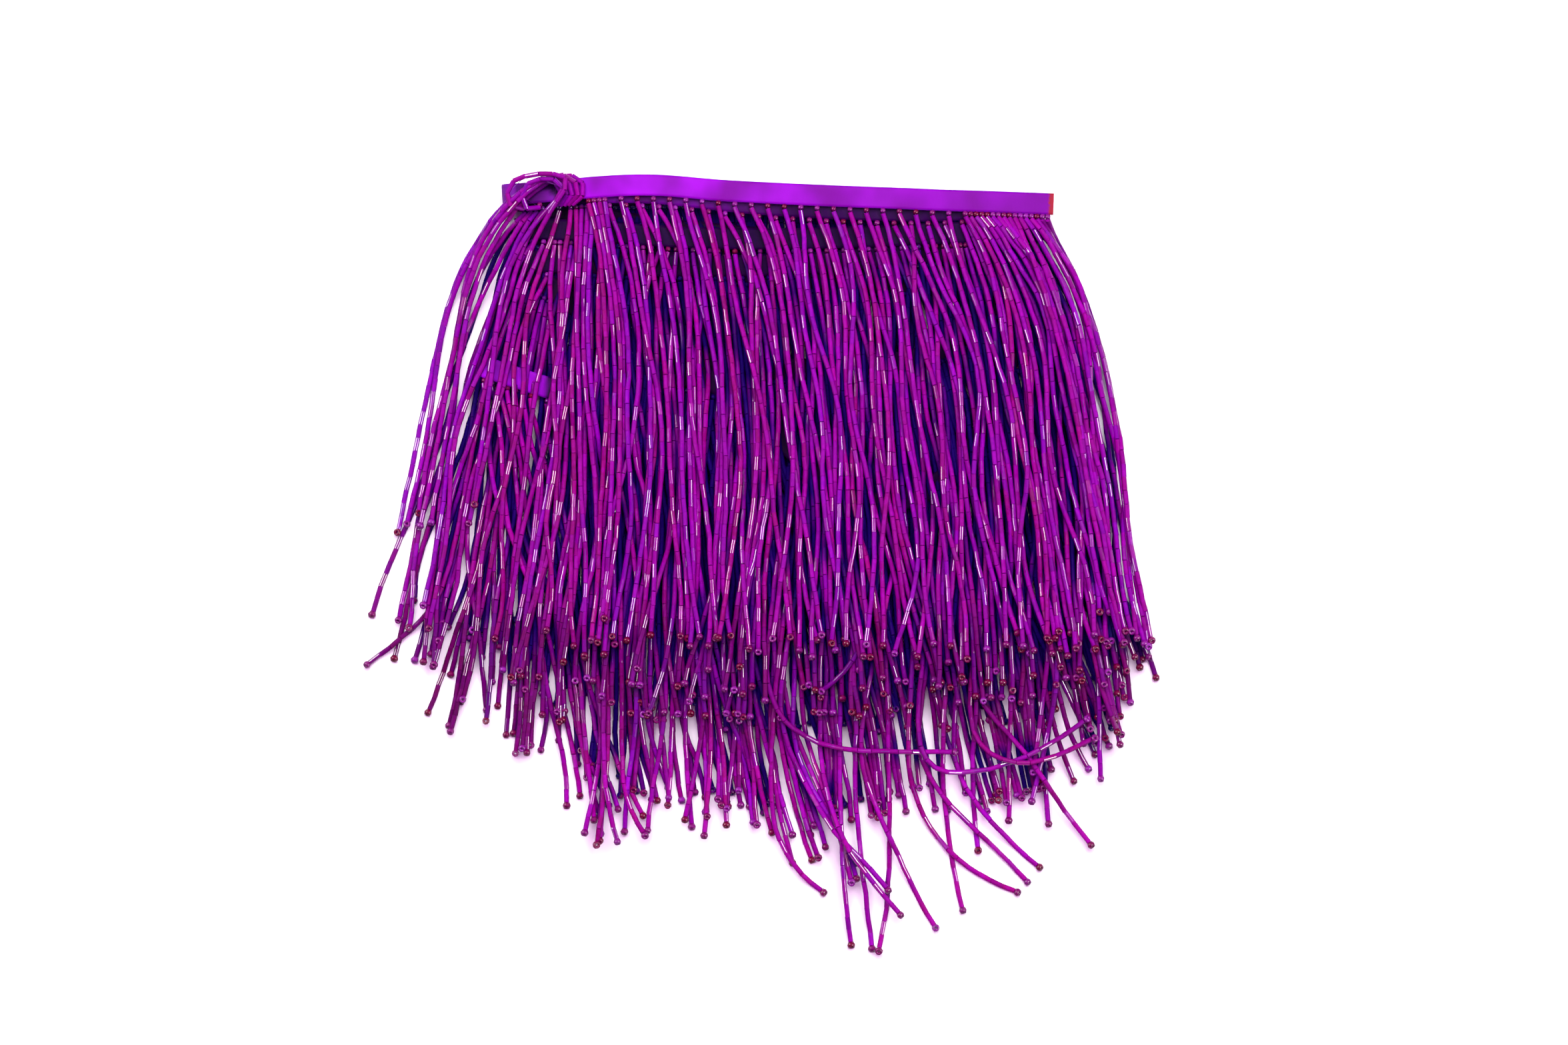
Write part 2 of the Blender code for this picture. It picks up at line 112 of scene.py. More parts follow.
tapeOrder = (4, 3, 5, 2, 6, 1, 7, 0, 8)  # the tape's own way through the runs, from its inner end
foldSides = (1, -1, 1, -1, 1, -1, 1, -1)
foldBulges = (2.6, 2.6, 4.2, 4.2, 5.8, 5.8, 7.4, 7.4)

# Headings along a run, in degrees from straight down the picture: root x, then at the root, body and tip.
sideLeans = (
    (-110, -40, -8, -11),
    (-100, -26, -8, -9),
    (-90, -14, -6, -7),
    (-60, -2, 2, -2),
    (-10, 3, 1, 2),
    (50, 0, 0, 2),
    (95, 5, 3, 4),
    (115, 18, 5, 4),
    (124, 26, 4, 3),
    (135, 26, 3, 3),
)
lowMiddleLeans = (
    (-106, -24, -6, -8),
    (-90, -10, -6, -8),
    (-60, -6, -4, -6),
    (-10, 0, 2, 4),
    (40, 4, 5, 6),
    (85, 12, 7, 6),
    (110, 14, 6, 6),
    (124, 26, 5, 6),
)
middleLeans = (
    (-124, 6, 14, 16),
    (-98, 2, 11, 8),
    (-75, -6, 3, -3),
    (-50, 0, 4, 2),
    (-20, 4, 6, 4),
    (5, 4, 3, 14),
    (26, 2, 0, 28),
    (42, -2, -1, 8),
    (60, 0, 0, -6),
    (72, 8, 2, 20),
    (88, 12, 4, 4),
    (100, 16, 2, 8),
    (112, 18, 2, 8),
    (124, 20, 3, 6),
)
topLeans = (
    (-110, -44, -9, -12),
    (-100, -30, -8, -9),
    (-92, -14, -5, -6),
    (-80, 10, 2, 0),
    (-60, 22, 3, 2),
    (-30, 18, 4, 3),
    (0, 12, 3, 2),
    (20, 3, 1, 0),
    (45, 6, 1, 0),
    (60, 22, 3, 2),
    (80, 14, 3, 3),
    (100, 20, 4, 4),
    (115, 26, 5, 4),
    (124, 28, 4, 3),
    (135, 24, 4, 3),
)
leansOf = (sideLeans,) * 3 + (lowMiddleLeans, middleLeans) + (sideLeans,) * 2 + (topLeans,) * 2

# Strands that lie in a way of their own, laid last and in this order:
# run, root x, and headings at shares of their length.
# Loops turn about near the root, and tails turn near the tip.
strayFirst = 0.03  # share of the length in the first straight
loopStraights, tailStraights = 16, 12
loopShares = (0, 0.04, 0.08, 0.12, 0.16, 0.20, 0.24, 0.30, 0.45, 0.55, 1)
loops = (
    (8, -83, (100, 170, 240, 290, 304, 310, 318, 326, 342, 350, 350)),
    (8, -91, (120, 200, 270, 300, 306, 312, 318, 326, 342, 348, 348)),
    (8, -98, (-40, -150, -215, -266, -280, -404, -406, -398, -374, -366, -371)),
    (8, -106, (-60, -160, -215, -262, -270, -272, -394, -396, -378, -370, -373)),
)
tailShares = (0, 0.08, 0.20, 0.45, 0.55, 0.65, 0.75, 0.85, 1)
tails = (
    (4, -94, (0, 10, 11, 11, 11, 9, 2, -10, -14)),
    (4, -87, (0, 7, 8, 8, 7, 6, 4, -2, -6)),
    (4, -80, (0, 5, 6, 6, 5, 3, -2, -6, -10)),
    (4, -73, (0, 1, 1, 1, 0, 0, 0, 6, 14)),
    (4, -66, (0, 1, 1, 1, 0, 0, 0, 4, 40)),
    (4, 43, (0, -1, -1, -1, 0, 1, 3, 4, 9)),
    (4, 50, (0, -2, -2, -2, -1, 4, 6, 7, 8)),
    (4, 57, (0, 1, 2, 2, 1, 1, 0, -3, -16)),
    (4, 91, (0, -5, -6, -6, -3, 2, 6, 9, 14)),
    (4, 108, (24, -4, -11, -8, -6, -4, -2, 2, 8)),
    (4, 111, (26, 4, -5, -4, -3, -2, -1, 0, 0)),
    (4, 114, (28, 14, 7, 4, 2, 0, -6, -14, -13)),
    (4, 117, (30, 12, 2, 0, 0, -2, -4, -8, -9)),
    (4, 25, (0, -7, -8, -6, -4, -2, 4, 26, 58)),
    (4, 30, (0, -11, -11, -7, 14, 26, 32, 44, 38)),
    (4, 36, (0, -2, -2, -2, 2, 14, 22, 38, 40)),
    (4, 65, (0, -12, -13, -10, 4, 22, 25, 25, 31)),
    (4, 72, (0, -3, -3, -3, 0, 18, 34, 54, 70)),
    (4, 85, (0, -8, -9, -9, -3, 28, 44, 46, 44)),
    (4, 96, (0, -5, -6, -6, -4, 3, 34, 42, 52)),
    (4, 100, (16, -4, -10, -5, 22, 46, 36, 33, 42)),
    (4, 20, (0, -8, -8, -4, 28, 62, 86, 89, 90)),
    (4, 79, (0, -5, -6, -5, 8, 84, 108, 116, 126)),
    (4, 104, (20, -6, -12, -7, -4, 4, 62, 104, 118)),
    (5, 62, (0, 0, -1, -1, -1, -4, -10, -24, -58)),
    (5, -103, (-34, -24, -16, -11, -11, -12, -22, -50, -54)),
)
strays = [(*loop, loopShares, loopStraights) for loop in loops]
strays += [(*tail, tailShares, tailStraights) for tail in tails]


def curveThrough(points, spacing):
    # Even points on a Catmull-Rom curve: each stretch is a cubic of its two ends and their neighbours.
    given = np.array(points, float)
    padded = np.vstack([2 * given[0] - given[1], given, 2 * given[-1] - given[-2]])
    fine = []
    for i in range(len(given) - 1):
        a, b, c, d = padded[i : i + 4]
        t = np.linspace(0, 1, 24, endpoint=False)[:, None]
        square, cube = 2 * a - 5 * b + 4 * c - d, 3 * b - a - 3 * c + d
        fine.append(0.5 * (2 * b + (c - a) * t + square * t**2 + cube * t**3))
    fine = np.vstack([*fine, given[-1:]])
    along = lengthsAlong(fine)
    even = np.linspace(0, along[-1], max(2, round(along[-1] / spacing) + 1))
    return alongValues(even, along, fine)


def lengthsAlong(points):
    # Running sum of the distances between neighbouring points.
    return np.concatenate([[0], np.cumsum(np.linalg.norm(np.diff(points, axis=0), axis=1))])


def alongValues(places, along, values):
    # Each column of the values, read off between its points at the given places.
    return np.stack([np.interp(places, along, values[:, k]) for k in range(values.shape[1])], axis=1)


def unit(vectors):
    # Each vector over its own length.
    return vectors / np.linalg.norm(vectors, axis=-1, keepdims=True)


def directions(points):
    # At each point, the mean of the two steps that meet there.
    steps = unit(np.diff(points, axis=-2))
    inner = steps[..., :-1, :] + steps[..., 1:, :]
    return unit(np.concatenate([steps[..., :1, :], inner, steps[..., -1:, :]], axis=-2))


def sideVectors(points):
    # The direction at each plan point, turned a quarter turn to the left.
    along = directions(points)
    return np.stack([-along[:, 1], along[:, 0]], axis=1)


def smoothStep(x):
    # Three times the square less twice the cube, between 0 and 1.
    x = np.clip(x, 0, 1)
    return x * x * (3 - 2 * x)


def strandPath(root, headings):
    # Equal steps from the root, each along the mean of the headings at its two ends.
    theta = np.radians(headings)
    middle = (theta[:-1] + theta[1:]) / 2
    moves = np.stack([np.sin(middle), -np.cos(middle)], axis=1) * (laying["strandLength"] / len(middle))
    return np.vstack([[root], root + np.cumsum(moves, axis=0)])


def readPath(path, shares):
    # Points at shares of the path's length.
    return alongValues(shares, np.linspace(0, 1, len(path)), path)


def strandHeadings(leans, x, wander):
    # The body heading, plus the root's difference dying away, the tip's difference eased in and two waves.
    table = np.array(leans, float)
    root, body, tip = (np.interp(x, table[:, 0], table[:, k]) for k in (1, 2, 3))
    root += wander[0] * laying["strays"][0]
    body += wander[1] * laying["strays"][1]
    tip += wander[2] * laying["strays"][2] + wander[1] * laying["strays"][1]
    s = np.linspace(0, 1, laying["headingSteps"] + 1)
    theta = body + (root - body) * np.exp(-s * laying["strandLength"] / laying["easeLength"])
    theta += (tip - body) * smoothStep((s - laying["turnFrom"]) / laying["turnOver"])
    for k, (length, swing) in enumerate(laying["waves"]):
        phase = wander[3 + k] * math.pi
        theta += swing * wander[5 + k] * np.sin(2 * math.pi * s * laying["strandLength"] / length + phase)
    return theta


def cellsAt(top, x, y):
    # The height map's cell under each spot.
    cell = 2 * laying["halfMap"] / len(top)
    return tuple(np.clip(((v + laying["halfMap"]) / cell).astype(int), 0, len(top) - 1) for v in (x, y))


def bandSpots(a, b, offsets):
    # Spots over one straight: shares of its length, and places at the offsets to its left.
    t = np.linspace(0, 1, max(3, int(np.linalg.norm(b - a) / laying["cell"]) + 1))
    along = (b - a) / np.linalg.norm(b - a)
    side = np.array([-along[1], along[0]])
    spots = (a + t[:, None] * (b - a))[:, None, :] + offsets[None, :, None] * side
    return t, spots[..., 0], spots[..., 1]


def raisePlain(top, a, b, offsets, za, zb, height):
    # The map rises to the straight's top: the height between its two ends, plus its thickness.
    t, x, y = bandSpots(a, b, offsets)
    np.maximum.at(top, cellsAt(top, x, y), np.broadcast_to((za + (zb - za) * t + height)[:, None], x.shape))


def settlePlain(top, points, offsets, root=None):
    # The lowest joint heights at which each straight clears what lies under it, lowered joint by joint.
    spans = []
    for j, (a, b) in enumerate(zip(points[:-1], points[1:])):
        t, x, y = bandSpots(a, b, offsets)
        below = top[cellsAt(top, x, y)].max(axis=1)
        need = np.where(below > 0, below + laying["clearance"], 0.0)
        if root is not None and j == 0:
            need[t * np.linalg.norm(b - a) < laying["rootFree"]] = 0.0
        spans.append((t, need))
    z = np.zeros(len(points))
    for j, (_, need) in enumerate(spans):
        z[j] = max(z[j], need.max())
        z[j + 1] = max(z[j + 1], need.max())
    first = 0
    if root is not None:
        first = 1
        t, need = spans[0]
        z[0] = root
        z[1] = max(z[1], ((need[1:] - (1 - t[1:]) * root) / t[1:]).max())
    for _ in range(laying["sweeps"]):
        before = z.sum()
        for j in range(first, len(points)):
            least = 0.0
            if j > 0:
                t, need = spans[j - 1]
                least = max(least, ((need[1:] - (1 - t[1:]) * z[j - 1]) / t[1:]).max())
            if j < len(spans):
                t, need = spans[j]
                least = max(least, ((need[:-1] - t[:-1] * z[j + 1]) / (1 - t[:-1])).max())
            z[j] = min(z[j], least)
        if before - z.sum() < laying["settled"]:
            break
    return z


def acrossFrom(low, high):
    # Even offsets to the left, no more than a cell apart.
    return np.linspace(low, high, max(2, int((high - low) / laying["cell"]) + 2))


# How far to both sides of its line each band reaches: a strand, a strand with room to spare, the tape,
# a run with its roots, and the strip that joins the roots.
strandReach = acrossFrom(-1.3, 1.3)
clearReach = acrossFrom(-1.55, 1.55)
tapeReach = acrossFrom(-5.4, 5.4)
runReach = acrossFrom(-12.1, 5.4)
stripReach = acrossFrom(-7.5, -5.0)


def layRun(index, top, random):
    # One run as in the solids: the tape settles first, then each strand takes the lowest of several ways.
    run, leans = runs[index], leansOf[index]
    plan = curveThrough(run["line"], run["station"])
    along = lengthsAlong(plan)
    z = settlePlain(top, plan, runReach)
    for j in range(len(plan) - 1):
        raisePlain(top, plan[j], plan[j + 1], tapeReach, z[j], z[j + 1], laying["tapeThick"])
        raisePlain(top, plan[j], plan[j + 1], stripReach, z[j], z[j + 1], laying["strandHeight"])
    for side, bulge, a, b in zip(foldSides, foldBulges, tapeOrder, tapeOrder[1:]):
        if max(a, b) == index:
            end = -1 if side > 0 else 0
            crest = plan[end] + np.array([side * bulge, 0])
            raisePlain(top, plan[end], crest, tapeReach, z[end], z[end], laying["tapeThick"])
    side = sideVectors(plan)
    count = int((along[-1] - 2 * laying["endMargin"]) / run["pitch"]) + 1
    places = np.linspace(laying["endMargin"], along[-1] - laying["endMargin"], count)
    centre = alongValues(places, along, plan)
    left = unit(alongValues(places, along, side))
    heights = np.interp(places, along, z)
    fronts = centre - left * laying["rootOffset"]
    own = {int(np.abs(centre[:, 0] - row[1]).argmin()): row[2:] for row in strays if row[0] == index}
    strands = [None] * count
    order = [i for i in range(count) if i not in own] + list(own)
    for i in order:
        if i in own:
            headings, given, straights = own[i]
            shares = np.concatenate([[0], np.linspace(strayFirst, 1, straights)])
            ways = [np.interp(np.linspace(0, 1, laying["headingSteps"] + 1), given, headings)]
        else:
            first = laying["firstStep"] / laying["strandLength"]
            shares = np.concatenate([[0], np.linspace(first, 1, run["straights"] + 1)])
            wanders = np.clip(random.normal(size=(laying["tries"], 8)), -2, 2)
            ways = [strandHeadings(leans, centre[i, 0], w) for w in wanders]
        paths = [strandPath(fronts[i], way) for way in ways]
        levels = [settlePlain(top, readPath(path, shares), clearReach, root=heights[i]) for path in paths]
        best = min(range(len(ways)), key=lambda k: levels[k].mean() + levels[k].max())
        level, knots = levels[best], readPath(paths[best], shares)
        for j in range(len(knots) - 1):
            ends = knots[j], knots[j + 1]
            raisePlain(top, *ends, strandReach, level[j], level[j + 1], laying["strandHeight"])
        strands[i] = {
            "headings": ways[best],
            "path": paths[best],
            "shares": shares,
            "level": level,
            "centre": centre[i],
            "left": left[i],
            "turn": order.index(i) if i in own else -1,  # when it is laid, if it has a way of its own
        }
    return {"plan": plan, "z": z, "strands": strands}


plainTop = np.zeros((round(2 * laying["halfMap"] / laying["cell"]),) * 2)
draw = np.random.default_rng(laying["seed"])
laid = [layRun(index, plainTop, draw) for index in range(len(runs))]
print("laid", sum(len(run["strands"]) for run in laid), "strands in", round(time.time() - clock), "s")

# Glass beads, in millimetres.
bead = {
    "radius": 1.16,
    "perStrand": 32,
    "gap": 0.04,  # between two beads, where the thread shows
    "endRoom": 2.9,  # of a strand's length, for its end bead
    "sides": 8,
    "coveredSides": 6,  # of a bead that others lie on
    "shoulder": 0.08,
    "shoulderRadius": 0.9,  # of the bead's radius at its cut ends
    "kink": 0.12,  # sideways shift of a joint
    "step": 0.05,  # sideways shift of a bead against its neighbours
    "rootRadius": 1.32,
    "rootLength": 2.1,
    "rootOffset": 5.9,  # from the ribbon's middle line
    "rootLift": 1.0,  # over the underside of the plain tape
    "endRadius": 1.85,
    "endLength": 2.6,
    "hole": 0.45,
    "ringSides": 9,  # of a root bead or end bead, round its hole
    "ringSection": 5,
    "flatShare": 0.2,  # of the end beads lie with the hole upright
    "sewnOffset": 4.5,  # from the ribbon's middle line to where the thread goes in
    "sewnLift": 0.5,
    "threadRadius": 0.16,
    "clearance": 0.03,
    "drop": 2.3,  # the most that a strand rises or falls from one joint to the next
    "seed": 7,
    "mapCell": 0.4,
    "tapeHeight": 0.75,  # of the ribbon as the beads meet it
    "spotsAlong": 15,  # on each straight
    "spotsAcross": 7,
    "rootFree": 0.4,  # share of the first straight that passes only its own root
    "settled": 0.02,  # a sweep that lowers a strand by less is the last
    "crown": 0.8,  # how far over its middle a round bead stands for the next ones, in radii
    "tipRest": 0.85,  # how far over what is under it an end bead's middle lies, in radii
    "rootRest": 1.08,  # the same for a root bead on the table
    "roundSizes": (0.92, 1.06),
    "lean": 0.25,  # how far the upright holes of end beads stray
    "shownDepth": 0.8,  # a bead that is less than this under the top shows
    "loft": 0.25,  # how much of the room under a plain strand its beads keep
    "overPlain": 3.5,  # the most that beads lie above the plain strand
    "levelReach": 3.6,  # half the width of the square over which the bundle's level is meant
    "paintedShadeDepth": 3.2,  # under that level hardly any light comes through, and the painted shade is full
}

# The solids hold fewer than 300 strands. The real fringe is denser, so most gaps between two of them get
# more.
filling = {
    # In each gap of a run: at its middle, and at its ends.
    "extra": ((3, 3), (1, 2), (2, 2), (3, 2), (1, 1), (1, 2), (1, 2), (0, 2), (0, 2)),
    "loops": 3,  # between two loops that turn alike, so that they make a knot
    "loopTurn": 180.0,  # degrees that a strand turns through at least where it is a loop
    "alike": 60.0,  # degrees that the headings of two such loops differ at most
    "innerEnd": (-120, -97, 81, 94),  # plan box over the ribbon's inner end, which is left to show
    "overInnerEnd": 4,  # runs after this one lie over it
    "ends": (-72.0, 92.0),  # plan x beyond which a run counts as its ends
    "swing": 5.0,  # degrees
    "stretch": (0.94, 1.03),  # of the strand length, so that tips don't line up
    "waveLengths": (60, 140),
    "waveStart": 0.125,  # share of the length over which the wave grows
    "seed": 11,
}


def fillRun(strands, extra, random, overEnd):
    # In each gap, strung from between the two roots: shares of both neighbours' headings plus one slow wave,
    # drawn out or in a little. A strand that would cover the ribbon's inner end is left out.
    filled = []
    s = np.linspace(0, 1, laying["headingSteps"] + 1)
    left, right, low, high = filling["innerEnd"]
    for one, other in zip(strands, strands[1:]):
        filled.append(one)
        atEnd = not filling["ends"][0] < one["centre"][0] < filling["ends"][1]
        count = extra[1] if atEnd else extra[0]
        turn = max(one["turn"], other["turn"])
        if turn >= 0:
            loop = np.ptp(one["headings"]) > filling["loopTurn"]
            alike = np.abs(one["headings"] - other["headings"]).max() < filling["alike"]
            count = filling["loops"] if loop and alike else 0
        for share in np.arange(1, count + 1) / (count + 1):
            turns = s * laying["strandLength"] / random.uniform(*filling["waveLengths"]) + random.uniform()
            wave = filling["swing"] * random.normal() * np.sin(2 * math.pi * turns)
            wave = wave * smoothStep(s / filling["waveStart"])
            keys = ("headings", "level", "centre", "left")
            between = {key: one[key] + (other[key] - one[key]) * share for key in keys}
            start = one["path"][0] + (other["path"][0] - one["path"][0]) * share
            path = strandPath(start, between["headings"] + wave)
            path = start + (path - start) * random.uniform(*filling["stretch"])
            x, y = path.T
            if overEnd and ((x > left) & (x < right) & (y > low) & (y < high)).any():
                continue
            filled.append({**between, "path": path, "shares": one["shares"], "turn": turn})
    return [*filled, strands[-1]]


def strandSpots(joints, across, count):
    # The same spots over every straight of a strand at once: shares, then places at offsets to the left.
    t = np.linspace(0, 1, count)
    steps = np.diff(joints, axis=0)
    side = unit(np.stack([-steps[:, 1], steps[:, 0]], axis=1))
    spots = joints[:-1, None, None] + t[None, :, None, None] * steps[:, None, None]
    spots = spots + across[None, None, :, None] * side[:, None, None]
    return t, spots[..., 0], spots[..., 1]


def settleBeads(top, joints, rootHeight):
    # Beads sink until a round keel touches what is under them: odd and even joints are lowered in turn.
    across = np.linspace(-0.96, 0.96, bead["spotsAcross"]) * bead["radius"]
    keel = bead["radius"] - np.sqrt(bead["radius"] ** 2 - across**2)
    t, x, y = strandSpots(joints, across, bead["spotsAlong"])
    below = top[cellsAt(top, x, y)]
    need = np.where(below > 0, below + bead["clearance"] - keel, 0).max(axis=2).clip(0)
    need[0, t < bead["rootFree"]] = 0
    z = np.zeros(len(joints))
    z[:-1] = need.max(axis=1)
    z[1:] = np.maximum(z[1:], need.max(axis=1))
    z[0] = rootHeight
    z[1] = max(z[1], ((need[0, 1:] - (1 - t[1:]) * rootHeight) / t[1:]).max())
    for _ in range(laying["sweeps"]):
        before = z.sum()
        for first in (1, 2):
            own = np.arange(first, len(z), 2)
            least = ((need[own - 1][:, 1:] - (1 - t[1:]) * z[own - 1][:, None]) / t[1:]).max(axis=1)
            inner = own[own < len(z) - 1]
            after = ((need[inner][:, :-1] - t[:-1] * z[inner + 1][:, None]) / (1 - t[:-1])).max(axis=1)
            least[: len(inner)] = np.maximum(least[: len(inner)], after)
            z[own] = np.minimum(z[own], np.maximum(least, 0))
        if before - z.sum() < bead["settled"]:
            break
    # No joint is more than the drop over or under its neighbours.
    place = np.arange(len(z))
    z = np.minimum(z, rootHeight + place * bead["drop"])
    steps = np.abs(np.subtract.outer(place, place))
    return np.maximum(z, (z[None, :] - steps * bead["drop"]).max(axis=1))


def raiseBeads(top, joints, z):
    # A round crown over each straight: the radius plus the height of the circle at that offset.
    across = np.linspace(-1, 1, bead["spotsAcross"]) * bead["radius"]
    crown = bead["radius"] + np.sqrt(np.maximum(bead["radius"] ** 2 - across**2, 0))
    t, x, y = strandSpots(joints, across, bead["spotsAlong"])
    level = (z[:-1, None] + np.diff(z)[:, None] * t)[:, :, None] + crown
    np.maximum.at(top, cellsAt(top, x, y), level)


def discSpots(centre, radius):
    # Spots on rings round a plan point.
    turn = np.linspace(0, 2 * math.pi, 12, endpoint=False)
    reach = np.array([0.0, 0.35, 0.7, 1.0])[:, None] * radius
    return centre[0] + reach * np.cos(turn), centre[1] + reach * np.sin(turn)


def meanOver(values, reach):
    # The mean over a square of cells, by running sums down and then across, taken twice.
    for _ in range(4):
        sums = np.cumsum(np.pad(values, ((reach + 1, reach), (0, 0)), mode="edge"), axis=0)
        values = ((sums[2 * reach + 1 :] - sums[: -2 * reach - 1]) / (2 * reach + 1)).T
    return values


def paintedShadeShare(verts):
    # Painted shade share: how far a spot lies under the bundle's level round it, 0 at that level and 1 where
    # hardly any light comes.
    below = bundleLevel[cellsAt(bundleLevel, verts[:, 0], verts[:, 1])] - verts[:, 2]
    return smoothStep(below / bead["paintedShadeDepth"])


fineTop = np.zeros((round(2 * laying["halfMap"] / bead["mapCell"]),) * 2)
wobble = np.random.default_rng(bead["seed"])
filler = np.random.default_rng(filling["seed"])
pitchShare = (1 - bead["endRoom"] / laying["strandLength"]) / bead["perStrand"]
jointShares = np.arange(bead["perStrand"] + 1) * pitchShare
for index, run in enumerate(laid):
    for j in range(len(run["plan"]) - 1):
        ends = run["plan"][j], run["plan"][j + 1]
        raisePlain(fineTop, *ends, tapeReach, run["z"][j], run["z"][j + 1], bead["tapeHeight"])
    overEnd = index > filling["overInnerEnd"]
    run["strands"] = fillRun(run["strands"], filling["extra"][index], filler, overEnd)
    run["strands"].sort(key=lambda strand: strand["turn"])  # the ones with a way of their own come last
    for strand in run["strands"]:
        joints = readPath(strand["path"], jointShares)
        shift = wobble.normal(size=len(joints)).clip(-2, 2) * bead["kink"]
        shift[0] = 0
        joints = joints + sideVectors(joints) * shift[:, None]
        coarse = np.interp(jointShares, strand["shares"], strand["level"])
        z = np.minimum(settleBeads(fineTop, joints, coarse[0]), coarse + bead["overPlain"])
        z = z + np.maximum(coarse - z, 0) * bead["loft"]
        tip = joints[-1] + unit(joints[-1] - joints[-2]) * bead["endLength"] / 2
        tipSpots = cellsAt(fineTop, *discSpots(tip, bead["endRadius"]))
        tipHeight = fineTop[tipSpots].max() + bead["endRadius"] * bead["tipRest"]
        tipHeight = max(z[-1] + bead["endRadius"], tipHeight)
        tipHeight = min(tipHeight, z[-1] + 2 * bead["endRadius"])
        raiseBeads(fineTop, joints, z)
        fineTop[tipSpots] = np.maximum(fineTop[tipSpots], tipHeight + bead["endRadius"] * bead["crown"])
        root = strand["centre"] - strand["left"] * bead["rootOffset"]
        rootHeight = max(strand["level"][0] + bead["rootLift"], bead["rootRadius"] * bead["rootRest"])
        rootSpots = cellsAt(fineTop, *discSpots(root, bead["rootRadius"]))
        fineTop[rootSpots] = np.maximum(fineTop[rootSpots], rootHeight + bead["rootRadius"] * bead["crown"])
        strand["joints"] = np.column_stack([joints, z + bead["radius"]])
        strand["root"] = np.append(root, rootHeight)
        strand["tip"] = np.append(tip, tipHeight)
        sewn = strand["centre"] - strand["left"] * bead["sewnOffset"]
        strand["sewn"] = np.append(sewn, strand["level"][0] + bead["sewnLift"])
bundleLevel = meanOver(fineTop, round(bead["levelReach"] / bead["mapCell"]))
print("strung in", round(time.time() - clock), "s, beads reach", round(fineTop.max(), 1), "mm")


def toPart(points):
    # Plan millimetres to metres from the part's zero.
    moved = np.array(points, float)
    moved[..., :2] -= planZero
    return moved * mm


def makePiece(name, verts, faceSets, material, flatSets=()):
    # Vertices and groups of faces with one corner count each go into a mesh as whole arrays.
    mesh = bpy.data.meshes.new(name)
    mesh.vertices.add(len(verts))
    mesh.vertices.foreach_set("co", toPart(verts).astype(np.float32).ravel())
    corners = np.concatenate([faces.ravel() for faces in faceSets])
    sizes = np.concatenate([np.full(len(faces), faces.shape[1]) for faces in faceSets])
    mesh.loops.add(len(corners))
    mesh.loops.foreach_set("vertex_index", corners.astype(np.int32))
    mesh.polygons.add(len(sizes))
    mesh.polygons.foreach_set("loop_start", np.concatenate([[0], np.cumsum(sizes)[:-1]]).astype(np.int32))
    smooth = np.concatenate([np.full(len(faces), k not in flatSets) for k, faces in enumerate(faceSets)])
    mesh.polygons.foreach_set("use_smooth", smooth)
    mesh.update(calc_edges=True)
    # The edges of flat faces are sharp, so that they don't tilt the shine of the smooth ones.
    edges = np.zeros(len(corners), np.int32)
    mesh.loops.foreach_get("edge_index", edges)
    sharp = np.zeros(len(mesh.edges), bool)
    sharp[edges[np.repeat(~smooth, sizes)]] = True
    mesh.edges.foreach_set("use_edge_sharp", sharp)
    mesh.materials.append(material)
    piece = bpy.data.objects.new(name, mesh)
    bpy.context.scene.collection.objects.link(piece)
    return piece


def addAttribute(piece, name, values):
    # One number for each vertex, which the materials read.
    data = piece.data.attributes.new(name, "FLOAT", "POINT").data
    data.foreach_set("value", np.asarray(values, np.float32).ravel())


def crossAxes(axes):
    # Two unit vectors square to each axis: one level, one as near to upright as it can be.
    level = unit(np.cross(axes, (0, 0, 1)) + 1e-9)
    return level, np.cross(level, axes)


def ringFaces(count, rings, sides, closedRings=False):
    # Four-cornered faces between neighbouring rings, for every piece of a set at once.
    k, a = np.meshgrid(np.arange(rings if closedRings else rings - 1), np.arange(sides), indexing="ij")
    b = (a + 1) % sides
    following = (k + 1) % rings
    one = np.stack([k * sides + a, following * sides + a, following * sides + b, k * sides + b], axis=-1)
    return (one.reshape(1, -1, 4) + np.arange(count)[:, None, None] * rings * sides).reshape(-1, 4)


def endCaps(count, rings, sides):
    # The first and the last ring of every piece of a set, each as one face.
    base = np.arange(count)[:, None] * rings * sides
    return np.concatenate([base + np.arange(sides)[::-1], base + (rings - 1) * sides + np.arange(sides)])


def tubeBeads(starts, ends, spins, sides, fromMiddle, insets, reaches):
    # A straight tube from start to end: a ring at each place of its profile, and a cap on both ends.
    # Its shoulders are faces of their own, which stay flat, so that the shine runs straight along the tube.
    lengths = np.linalg.norm(ends - starts, axis=1)
    axes = (ends - starts) / lengths[:, None]
    middle = (starts + ends) / 2
    level, upright = crossAxes(axes)
    half = (lengths[:, None] - bead["gap"]) / 2
    along = np.array(fromMiddle) * half + np.array(insets)
    turn = spins[:, None] + np.arange(sides) * 2 * math.pi / sides
    outward = np.cos(turn)[:, :, None] * level[:, None] + np.sin(turn)[:, :, None] * upright[:, None]
    verts = middle[:, None, None] + along[:, :, None, None] * axes[:, None, None]
    verts = verts + bead["radius"] * np.array(reaches)[None, :, None, None] * outward[:, None]
    rings = len(reaches)
    bands = ringFaces(len(starts), rings, sides).reshape(len(starts), rings - 1, sides, 4)
    body = bands[:, rings // 2 - 1].reshape(-1, 4)
    shoulders = np.delete(bands, rings // 2 - 1, axis=1).reshape(-1, 4)
    return verts.reshape(-1, 3), [body, shoulders, endCaps(len(starts), rings, sides)[:, ::-1]]


